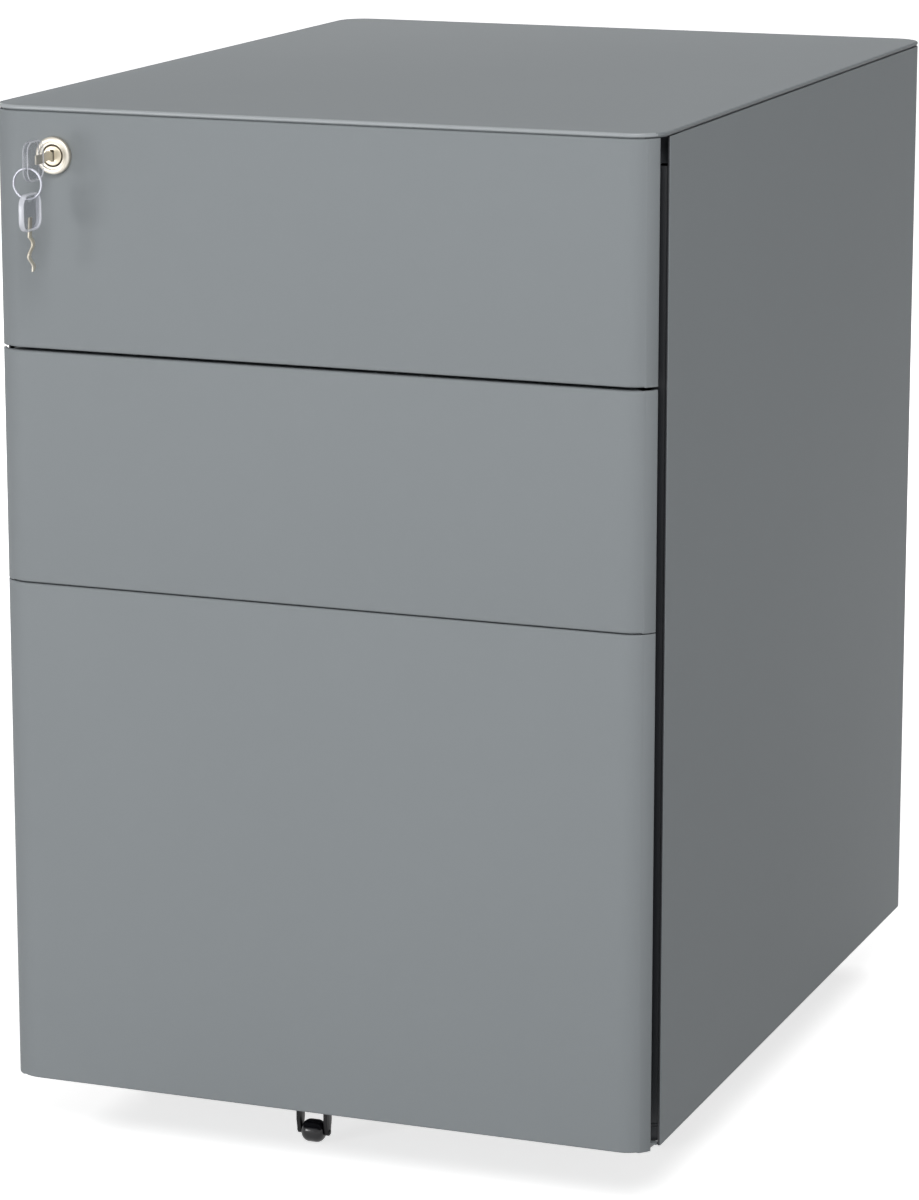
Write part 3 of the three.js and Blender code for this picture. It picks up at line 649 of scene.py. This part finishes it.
def drawer_front(number):
    node = f"drawer_front_{number}"
    foot, top = span(node, Z)
    skin = front_skin(foot, top)
    front_flanges(foot, top)
    edit()
    face_out(lambda at: near(at.y, front_face), (0, -1, 0))
    stop_editing()
    pick(skin)
    thicken(hemmed_sheet)
    soften(edge_break, 2)
    left, right = front_return(-1, foot, top), front_return(1, foot, top)
    if number == 1:
        hole = (lock_hole_radius, front_face - MM, front_face + 25 * MM)
        skin, left = bored(skin, *hole), bored(left, *hole)
    panel = merge(skin, left, right)
    finish_piece(panel, f"front_panel_{number}", f"drawer_{number}", [panel_coat], [node])


for number in DRAWERS:
    drawer_front(number)

# %% [markdown]
# A side wall is bent the same way. Its front edge is hemmed beside the finger slot, and its back edge goes
# round the rear corner and ends on the back. The hem's faces that look into the slot take the frame's dark
# coat as painted shade, so that the slot looks like one deep shadow; that takes a second material.
# %% Side walls
wall_hem = 4 * MM
wall_return = 22 * MM


def side_wall(which, side):
    node = f"side_panel_{which}"
    foot, top = span(node, Z)
    hem_bend = span(node, Y)[0] + sheet
    flat_end = case_back - corner
    wall = sheet_blank((half_width, hem_bend, foot), (half_width, flat_end, top), "+X")
    edit()
    choose("EDGE", lambda at: near(at.y, hem_bend))
    spin((half_width - sheet, hem_bend, 0), -180, steps=10)
    extrude(0, wall_hem, 0)
    choose("EDGE", lambda at: near(at.y, flat_end))
    spin((flat_half, flat_end, 0), 90, steps=24)
    extrude(-wall_return, 0, 0)
    if side < 0:
        bpy.ops.mesh.select_all(action="SELECT")
        bpy.ops.transform.mirror(constraint_axis=(True, False, False), center_override=(0, 0, 0))
    face_out(lambda at: near(at.x, side * half_width) and at.y < flat_end + MM, (side, 0, 0))
    stop_editing()
    pick(wall)
    thicken(hemmed_sheet)
    soften(edge_break, 2)
    finishes = [panel_coat, frame_and_slot_shade_coat]
    finish_piece(wall, f"side_wall_{which}", "root", finishes, [node])
    # The hem's faces that look into the slot take the dark coat: painted shade.
    slot_side, behind_hem = half_width - 0.25 * MM, hem_bend + wall_hem + 2 * MM
    paint(wall, 1, lambda at: at.y < behind_hem and side * at.x < slot_side)


side_wall("left", -1)
side_wall("right", 1)

# %% [markdown]
# The top is a flat lid with round corners and rolled edges. The front roll has a lighter, glossier coat,
# whose lighter colour is a painted highlight: one bright line along the lip. Under it a narrow strip fills
# the seam over fronts and walls, and a deeper skirt, dark grey as painted shade, closes the slots at their
# top.
# %% A slab with round corners
def edges_along(axis):
    """In edit mode, selects every straight edge that runs along an axis."""
    mesh = edited_mesh()
    bpy.ops.mesh.select_mode(type="EDGE")
    bpy.ops.mesh.select_all(action="DESELECT")
    for edge in mesh.edges:
        a, b = (vertex.co for vertex in edge.verts)
        edge.select_set(all(near(a[i], b[i]) for i in (X, Y, Z) if i != axis))
    keep_changes()


def rounded_slab(low, high, radius, segments, axis=Z):
    """A box with its four edges along one axis rounded."""
    slab = box_blank(low, high)
    edit()
    edges_along(axis)
    round_edges(radius, segments)
    stop_editing()
    return slab

# %% [markdown]
# Lid, seam strip and skirt all follow the same round corners, each with its own inset. The finishes are
# painted on by place: the painted-highlight coat on the front roll, the painted-shade coat on the skirt.
# %% Top
lid_depth = 2.5 * MM
lid_roll = 1.1 * MM
seam_inset = 1.3 * MM
seam_drop = 0.45 * MM
skirt_start = front_face + 30 * MM


def band(low, high, radius, thickness):
    """An upright strip that runs all round inside a box with rounded corners."""
    strip = rounded_slab(low, high, radius, 12)
    edit()
    for height in (low[Z], high[Z]):
        choose("FACE", lambda at: near(at.z, height))
        bpy.ops.mesh.delete(type="FACE")
    stop_editing()
    pick(strip)
    return thicken(thickness)


def cabinet_top():
    underside = case_top - lid_depth
    inside_lid = underside + 0.4 * MM
    lid = rounded_slab((-half_width, front_face, underside), (half_width, case_back, case_top), corner, 24)
    pick(lid)
    soften(lid_roll, 6, angle=40)
    half, radius = half_width - seam_inset, corner - seam_inset
    skirt_foot = span("top_panel", Z)[0]
    skirt_end = (half, case_back - 2.4 * MM, inside_lid)
    skirt = band((-half, skirt_start, skirt_foot), skirt_end, radius, sheet)
    strip_start = (-half, front_face + seam_inset, underside - seam_drop)
    strip = band(strip_start, (half, case_back - seam_inset, inside_lid), radius, 1.2 * MM)
    lid = merge(lid, skirt, strip)
    finishes = [panel_coat, lip_highlight_coat, skirt_shade_coat]
    finish_piece(lid, "cabinet_top", "root", finishes, ["top_panel"])

    def on_skirt(at):
        below = at.z < inside_lid + 0.1 * MM
        return below and at.y > skirt_start - MM and abs(at.x) < half_width - MM

    # The front roll takes the lighter coat, a painted highlight.
    paint(lid, 1, lambda at: at.z > underside + 0.3 * MM and at.y < front_face + 9 * MM)
    paint(lid, 0, lambda at: near(at.z, case_top))
    # The skirt takes the dark coat, painted shade.
    paint(lid, 2, on_skirt)


cabinet_top()

# %% [markdown]
# The lock is turned work: a bezel with a domed rim and a sunk face, the barrel behind it with its hexagon
# nut, and a plug with the keyway. Each blank is a cylinder along Y. One wide bevel makes the dome that
# catches the light, and bezel, barrel and nut are bored before they are joined, so that the plug turns free.
# %% Lock
lock_face, barrel_end = span("lock_housing", Y)
bezel_radius = 11.2 * MM
barrel_radius = 8.2 * MM
bore_radius = 6.7 * MM
plug_radius = 5.9 * MM
nut_radius = 11 * MM
nut_start, nut_end = front_face + 1.3 * MM, front_face + 5.3 * MM


def lock_case():
    bezel = round_blank(bezel_radius, lock_face, front_face - 0.3 * MM, lock_axis, sides=72)
    edit()
    choose("EDGE", lambda at: near(at.y, lock_face))
    round_edges(1.7 * MM, 7)
    choose("FACE", lambda at: near(at.y, lock_face))
    bpy.ops.mesh.inset(thickness=1.2 * MM)
    extrude(0, 0.8 * MM, 0)
    stop_editing()
    bezel = bored(bezel, bore_radius, lock_face - MM, front_face + MM, sides=72)
    soften(0.25 * MM, 3)
    barrel = round_blank(barrel_radius, front_face - 0.4 * MM, barrel_end, lock_axis)
    barrel = bored(barrel, bore_radius, front_face - MM, barrel_end + MM)
    soften(0.4 * MM, 2)
    nut = round_blank(nut_radius, nut_start, nut_end, lock_axis, sides=6)
    nut = bored(nut, barrel_radius, front_face, front_face + 7 * MM)
    soften(0.4 * MM, 2, angle=40)
    case = merge(bezel, barrel, nut)
    finish_piece(case, "lock_case", "drawer_1", [nickel], ["lock_housing"], smooth=40)


def lock_core():
    start, end = span("lock_plug", Y)
    core = round_blank(plug_radius, start, end, lock_axis)
    soften(0.5 * MM, 3)
    half_slot, half_height, slot_depth = 1.2 * MM, 3.5 * MM, 14 * MM
    low = (lock_x - half_slot, start - MM, lock_z - half_height)
    high = (lock_x + half_slot, start + slot_depth, lock_z + half_height)
    core = carve(core, box_blank(low, high))
    # Its second finish, black nylon, is painted shade for the keyway.
    finish_piece(core, "lock_core", "plug", [plug_metal, nylon], ["lock_plug"], smooth=40)

    def in_keyway(at):
        across, up = abs(at.x - lock_x), abs(at.z - lock_z)
        return at.y > start + 0.6 * MM and across < 1.8 * MM and up < 3.6 * MM

    # The keyway's walls take the black nylon coat: painted shade for the deep slot.
    paint(core, 1, in_keyway)


lock_case()
lock_core()

# %% [markdown]
# Both keys are alike: a clear smoke-grey bow with a raised rim, and a thin nickel blade cut to a wave. The
# rim is what's left when each broad face of the bow is inset and pushed in. The eye is a slot cut through.
# %% Key bow
bow_length = 22 * MM
bow_rim = 1.1 * MM
bow_corner = 7 * MM
eye_drop = 3.5 * MM  # from the bow's top down to the middle of its eye
eye_half_length, eye_half_height, eye_corner = 4.5 * MM, 1.6 * MM, 1.55 * MM


def key_head(low, high):
    """A bow that hangs by its eye: a slab with rounded corners, hollowed from both broad faces."""
    hollow = 0.26 * (high[X] - low[X])
    head = rounded_slab(low, high, bow_corner, 10, X)
    for side, face in ((1, low[X]), (-1, high[X])):
        edit()
        choose("FACE", lambda at: near(at.x, face))
        bpy.ops.mesh.inset(thickness=bow_rim)
        extrude(side * hollow, 0, 0)
        stop_editing()
    pick(head)
    soften(0.35 * MM, 3, angle=40)
    y, z = (low[Y] + high[Y]) / 2, high[Z] - eye_drop
    eye_low = (low[X] - MM, y - eye_half_length, z - eye_half_height)
    eye_high = (high[X] + MM, y + eye_half_length, z + eye_half_height)
    return carve(head, rounded_slab(eye_low, eye_high, eye_corner, 6, X))

# %% [markdown]
# The blade is one thin strip. It is cut across row by row, and each row is shifted a little along a
# cosine, which bends the strip to the wave that such keys have milled into them.
# %% Key blade
blade_sheet = 1.1 * MM
wave_row = 1.4 * MM
WAVE_ROWS = 16
ROWS_PER_WAVE = 10


def key_strip(place, root, tip, width, sway):
    """A blade that hangs from the root's height to the tip's and winds from one side to the other.

    Each row is cut where the rows before it have moved the edge to, so the steps add up and the
    wave ends about 1.7 times as wide as the sway.
    """
    x, y = place
    low = (x - blade_sheet / 2, y - width / 2, tip)
    strip = box_blank(low, (x + blade_sheet / 2, y + width / 2, root))
    edit()
    for row in range(WAVE_ROWS):
        height = tip + row * wave_row
        if row:
            bpy.ops.mesh.select_all(action="SELECT")
            bpy.ops.mesh.bisect(plane_co=(x, y, height), plane_no=(0, 0, 1))
        choose("VERT", lambda at: near(at.z, height))
        shift = sway * math.cos(2 * math.pi * row / ROWS_PER_WAVE)
        bpy.ops.transform.translate(value=(0, shift, 0))
    choose("VERT", lambda at: near(at.z, tip))
    bpy.ops.transform.resize(value=(1, 0.4, 1), center_override=(x, y + sway, tip))
    stop_editing()
    pick(strip)
    return soften(0.25 * MM, 2)

# %% [markdown]
# Both keys are made as they hang, because there up and down are plain, and the one in the lock is then
# turned to point into it. Seen through a clear face the blade still shows, so it starts inside the bow.
# %% The two keys
blade_hold = 8 * MM  # how far the blade reaches into the bow


def hanging_key():
    low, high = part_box("spare_key")
    x, y, _ = middle_of(low, high)
    bow_foot = high[Z] - bow_length
    head = key_head((low[X], low[Y], bow_foot), high)
    # The rims keep the near-white colour, a painted highlight; the middle of each face is painted clear.
    coat(head, smoke_rim_highlight, smoke_face, key_steel)
    paint(head, 1, lambda at: abs(at.x - x) < (high[X] - low[X]) / 4)
    strip = key_strip((x, y), bow_foot + blade_hold, low[Z], width=3.8 * MM, sway=1.8 * MM)
    coat(strip, key_steel)
    key = merge(head, strip)
    finish_piece(key, "hanging_key", "spare", stands_for=["spare_key"], smooth=40)


def key_in_lock():
    """Made with its blade down, as if the way into the lock were down, and then turned about X."""
    low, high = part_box("key_bow")
    tip = span("key_blade", Y)[1]
    half_bow, bow_foot, bow_top = (high[Z] - low[Z]) / 2, -high[Y], -low[Y]
    head = key_head((low[X], lock_z - half_bow, bow_foot), (high[X], lock_z + half_bow, bow_top))
    strip = key_strip((lock_x, lock_z), bow_foot + blade_hold, -tip, width=5.4 * MM, sway=0.4 * MM)
    for piece in (head, strip):
        pick(piece)
        edit()
        bpy.ops.transform.rotate(value=-math.pi / 2, orient_axis="X", center_override=(0, 0, 0))
        stop_editing()
    # The rims keep the near-white colour, a painted highlight; the middle of each face is painted clear.
    coat(head, smoke_rim_highlight, smoke_face)
    clear_half = (high[X] - low[X]) / 2 - 0.3 * MM
    paint(head, 1, lambda at: abs(at.x - lock_x) < clear_half)
    finish_piece(head, "key_bow_in_lock", "key", stands_for=["key_bow"], smooth=40)
    finish_piece(strip, "key_strip_in_lock", "key", [key_steel], ["key_blade"], smooth=40)


hanging_key()
key_in_lock()

# %% [markdown]
# The ring is a split ring: flat spring wire wound twice round. Its section, a small rectangle, is swept all
# the way about the ring's axis, once for each turn of the wire. It is a little slimmer than the solid, so
# that it swings clear of both bows.
# %% Key ring
ring_play = 0.2 * MM
coil_gap = 0.02 * MM


def split_ring():
    low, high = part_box("key_ring")
    x, y, z = centre = middle_of(low, high)
    outer = (high[X] - low[X]) / 2
    wide = high[Y] - low[Y]
    inner_x, outer_x = x + outer - wide + ring_play, x + outer - ring_play
    coils = []
    for start, end in ((-wide / 2, -coil_gap), (coil_gap, wide / 2)):
        coil = sheet_blank((inner_x, y + start, z), (outer_x, y + end, z), "+Z")
        edit()
        bpy.ops.mesh.delete(type="ONLY_FACE")
        bpy.ops.mesh.select_all(action="SELECT")
        spin(centre, 360, steps=72, axis=(0, 1, 0))
        join_seams()
        stop_editing()
        pick(coil)
        coils.append(soften(0.28 * MM, 3))
    finish_piece(merge(*coils), "split_ring", "ring", [wire], ["key_ring"], smooth=50)


split_ring()

# %% [markdown]
# The small roller under the file drawer keeps the cabinet from tipping when that drawer is out. It's crowned
# like a barrel, so that it rolls over an edge of carpet. The castor wheels are turned from the same kind of
# blank, with a groove between tread and hub.
# %% Roller and castor wheels
def turned_wheel(node, shoulder, segments, cuts):
    """A wheel along X with rolled shoulders; each cut insets both ends and then sinks or lifts them."""
    low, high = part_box(node)
    radius = (high[Z] - low[Z]) / 2
    wheel = round_blank(radius, low[X], high[X], middle_of(low, high), X, sides=72)
    edit()
    for end in (low[X], high[X]):
        choose("EDGE", lambda at: near(at.x, end))
        round_edges(shoulder, segments)
    for side, end in ((1, low[X]), (-1, high[X])):
        choose("FACE", lambda at: near(at.x, end))
        for inset, sunk in cuts:
            bpy.ops.mesh.inset(thickness=inset)
            extrude(side * sunk, 0, 0)
    stop_editing()
    return pick(wheel)


def barrel_roller():
    node = "anti_tilt_roller"
    roller = turned_wheel(node, 5.4 * MM, 12, [(0.8 * MM, 0.5 * MM)])
    finish_piece(roller, "barrel_roller", "tilt_roller", [tread], [node], smooth=40)


def castor_tyre(place):
    node = f"castor_wheel_{place}"
    groove = 4.4 * MM
    wheel = turned_wheel(node, 2.5 * MM, 6, [(1.5 * MM, groove), (9 * MM, -groove)])
    soften(0.5 * MM, 3)
    finish_piece(wheel, f"castor_tyre_{place}", f"wheel_{place}", [tread], [node], smooth=40)


barrel_roller()

# %% [markdown]
# A castor's fork is right as the frame has it, but moulded nylon has no sharp corner. It is copied, its
# triangles are joined to whole faces, and its edges are rounded.
# %% Castors
SIDES = ("left", "right")
ENDS = ("front", "rear")
CASTORS = [f"{end}_{side}" for end in ENDS for side in SIDES]


def copy_of(node):
    """A copy of a solid, with its flat faces whole again, ready to have its edges rounded."""
    pick(frame["nodes"][node])
    bpy.ops.object.duplicate()
    bpy.ops.object.parent_clear(type="CLEAR_KEEP_TRANSFORM")
    piece = settle()
    edit()
    bpy.ops.mesh.remove_doubles(threshold=touching)
    bpy.ops.mesh.dissolve_limited(angle_limit=math.radians(1))
    stop_editing()
    return piece


def castor_swivel(place):
    """The fork with its axle; the axle's flat heads get the zinc finish."""
    node = f"castor_fork_{place}"
    swivel = copy_of(node)
    soften(0.45 * MM, 3, angle=40)
    finish_piece(swivel, f"castor_swivel_{place}", f"castor_{place}", [nylon, zinc], [node])
    low, high = span(node, X)
    head = 1.6 * MM
    paint(swivel, 1, lambda at: at.x < low + head or at.x > high - head)


for place in CASTORS:
    castor_tyre(place)
    castor_swivel(place)

# %% [markdown]
# The rest of the sheet metal is right as it is, but a sheet's edge is never a perfect corner. Each of these
# solids is copied, its triangles are joined to whole faces, and its edges are eased a little.
# %% Sheet metal with eased edges
def eased(nodes, name, body, finish, width, segments=2):
    copies = [copy_of(node) for node in nodes]
    piece = merge(*copies) if len(copies) > 1 else pick(copies[0])
    soften(width, segments, angle=40)
    finish_piece(piece, name, body, [finish], nodes, smooth=40)


RUNNERS = (
    ("case_rail", "outer_runner", "root"),
    ("mid_rail", "middle_runner", "slide"),
    ("drawer_rail", "inner_runner", "drawer"),
)

eased(["base_plate", "base_front_fold", "base_rim"], "base", "root", frame_and_slot_shade_coat, 0.4 * MM, 3)
eased(["back_panel"], "back_sheet", "root", panel_coat, 0.2 * MM)
for side in SIDES:
    eased([f"slot_foot_{side}"], f"slot_closer_{side}", "root", panel_coat, 0.25 * MM, 3)
eased(["roller_bracket"], "roller_fork", "drawer_3", nylon, 0.5 * MM, 3)
eased(["lock_cam"], "lock_disc", "plug", zinc, 0.25 * MM)
eased(["lock_bar"], "locking_bar", "bar", frame_and_slot_shade_coat, 0.25 * MM)
for side in SIDES:
    for end in ENDS:
        place = f"{end}_{side}"
        eased([f"{end}_upright_{side}"], f"{end}_post_{side}", "root", frame_and_slot_shade_coat, 0.3 * MM)
        eased([f"castor_plate_{place}"], f"castor_flange_{place}", "root", zinc, 0.3 * MM)
    for number in DRAWERS:
        place = f"{number}_{side}"
        for rail, runner, carrier in RUNNERS:
            body = carrier if carrier == "root" else f"{carrier}_{number}"
            eased([f"{rail}_{place}"], f"{runner}_{place}", body, zinc, 0.3 * MM)
for number in DRAWERS:
    tray, body = f"drawer_tray_{number}", f"drawer_{number}"
    eased([f"drawer_box_{number}"], tray, body, drawer_coat, 0.2 * MM)

# %% [markdown]
# Small screws finish the mechanical parts: pan heads with a round socket, which hold the castor plates to
# the base and the drawer fronts to their trays. One function makes a row, so that all heads are alike.
# %% Screws
def screw_row(name, places, axis, way, body, radius=2.6 * MM, height=1.3 * MM):
    """Screw heads that stand on a surface at each place; way is +1 or -1 along the axis."""
    heads = []
    for place in places:
        top = place[axis] + way * height
        heads.append(round_blank(radius, place[axis], top, place, axis, sides=24))
        edit()
        choose("EDGE", lambda at: near(at[axis], top))
        round_edges(0.8 * MM, 4)
        choose("FACE", lambda at: near(at[axis], top))
        bpy.ops.mesh.inset(thickness=0.5 * MM)
        sink = [0, 0, 0]
        sink[axis] = -way * 0.7 * MM
        extrude(*sink)
        stop_editing()
    finish_piece(merge(*heads), name, body, [zinc], smooth=40)


plate_margin = 4.2 * MM
front_screw_x, front_screw_margin = 120 * MM, 22 * MM
tray_sheet = 0.8 * MM

for place in CASTORS:
    low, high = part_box(f"castor_plate_{place}")
    across = (low[X] + plate_margin, high[X] - plate_margin)
    along = (low[Y] + plate_margin, high[Y] - plate_margin)
    corners = [(x, y, low[Z]) for x in across for y in along]
    screw_row(f"plate_screws_{place}", corners, Z, -1, "root")
for number in DRAWERS:
    low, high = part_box(f"drawer_box_{number}")
    levels = [low[Z] + front_screw_margin, high[Z] - front_screw_margin]
    places = [(x, low[Y] + tray_sheet, z) for x in (-front_screw_x, front_screw_x) for z in levels]
    name, body = f"front_screws_{number}", f"drawer_{number}"
    screw_row(name, places, Y, 1, body, radius=3.4 * MM, height=1.6 * MM)

# %% [markdown]
# The camera stands right of the middle and looks a little down, as in the photograph. Its place and its
# long lens were worked out from the straight edges of the picture. Depth of field stays off.
# %% Camera
FRAME_HEIGHT_PX = 1200
FOCAL_PX = 4500
LOOKS_DOWN, LOOKS_LEFT = 12.9, 20.96  # degrees
camera_data = bpy.data.cameras.new("camera")
camera_data.sensor_width = 36
camera_data.lens = camera_data.sensor_width * FOCAL_PX / FRAME_HEIGHT_PX
camera_data.clip_start = 0.05
camera = bpy.data.objects.new("camera", camera_data)
bpy.context.scene.collection.objects.link(camera)
camera.location = (1.006, -2.650, 0.954)
camera.rotation_euler = (math.radians(90 - LOOKS_DOWN), 0, math.radians(LOOKS_LEFT))
bpy.context.scene.camera = camera
print(f"camera: {camera_data.lens:.1f} mm lens")

# %% [markdown]
# A plain pale floor. To the camera, and in what metal reflects, floor and sky are white, while the light
# that falls on the cabinet stays at a plain level. The floor still takes the cabinet's shadow.
# %% Floor
FADE_FROM, FADE_TO = 0.5, 1.6  # metres from the middle of the floor


def white_to_camera(tree):
    """One for rays from the camera, a mirror or glass, and zero for light that falls on things."""
    path = tree.nodes.new("ShaderNodeLightPath")
    seen = calculate(tree, "MAXIMUM", path.outputs["Is Camera Ray"], path.outputs["Is Glossy Ray"])
    return calculate(tree, "MAXIMUM", seen, path.outputs["Is Transmission Ray"])


def make_floor(level):
    """Shows the cabinet's shadow close by, glows white farther off, and is clear from below."""
    deselect()
    bpy.ops.mesh.primitive_plane_add(size=30)
    floor = bpy.context.object
    floor.name = "floor"
    material, tree, shader, places = new_material("floor_white")
    shader.inputs["Base Color"].default_value = linear("#e2e2e2")
    shader.inputs["Roughness"].default_value = 0.9
    shader.inputs["Specular IOR Level"].default_value = 0.1
    shader.inputs["Emission Color"].default_value = (1, 1, 1, 1)
    away = tree.nodes.new("ShaderNodeVectorMath")
    away.operation = "LENGTH"
    link(tree, places, away.inputs[0])
    fade = tree.nodes.new("ShaderNodeMapRange")
    fade.interpolation_type = "SMOOTHSTEP"
    limits = {"From Min": FADE_FROM, "From Max": FADE_TO, "To Min": level, "To Max": 1.0}
    for label, value in limits.items():
        fade.inputs[label].default_value = value
    link(tree, away.outputs["Value"], fade.inputs["Value"])
    glow = calculate(tree, "MULTIPLY", white_to_camera(tree), fade.outputs[0])
    link(tree, glow, shader.inputs["Emission Strength"])
    facing = tree.nodes.new("ShaderNodeNewGeometry")
    link(tree, calculate(tree, "SUBTRACT", 1.0, facing.outputs["Backfacing"]), shader.inputs["Alpha"])
    floor.data.materials.append(material)


make_floor(0.73)

# %% [markdown]
# Soft studio light. A key lamp stands at the front and to the right, a low one fills the foot, and one
# behind serves the back; that one isn't mirrored in metal, where it would show as a bright disc.
# %% Sky and lamps
LAMPS_AIM = Vector((0, 0, 0.32))


def make_sky(level):
    world = bpy.data.worlds.new("sky")
    world.use_nodes = True
    tree = world.node_tree
    background = tree.nodes["Background"]
    background.inputs["Color"].default_value = (1, 1, 1, 1)
    strength = calculate(tree, "MULTIPLY_ADD", white_to_camera(tree), 1 - level, level)
    link(tree, strength, background.inputs["Strength"])
    bpy.context.scene.world = world


def lamp(name, place, size, power):
    data = bpy.data.lights.new(name, "AREA")
    data.shape = "DISK"
    data.size = size
    data.energy = power
    light = bpy.data.objects.new(name, data)
    bpy.context.scene.collection.objects.link(light)
    light.location = place
    light.rotation_euler = (LAMPS_AIM - Vector(place)).to_track_quat("-Z", "Y").to_euler()
    return light


make_sky(0.2)
lamp("key_light", (1.1, -3.05, 2.95), 1.8, 89)
lamp("fill_light", (-1.5, -2.6, 0.5), 0.8, 18.5)
lamp("back_light", (-2.2, 2.6, 2.0), 1.2, 55).visible_glossy = False
bpy.context.scene.view_settings.view_transform = "Standard"
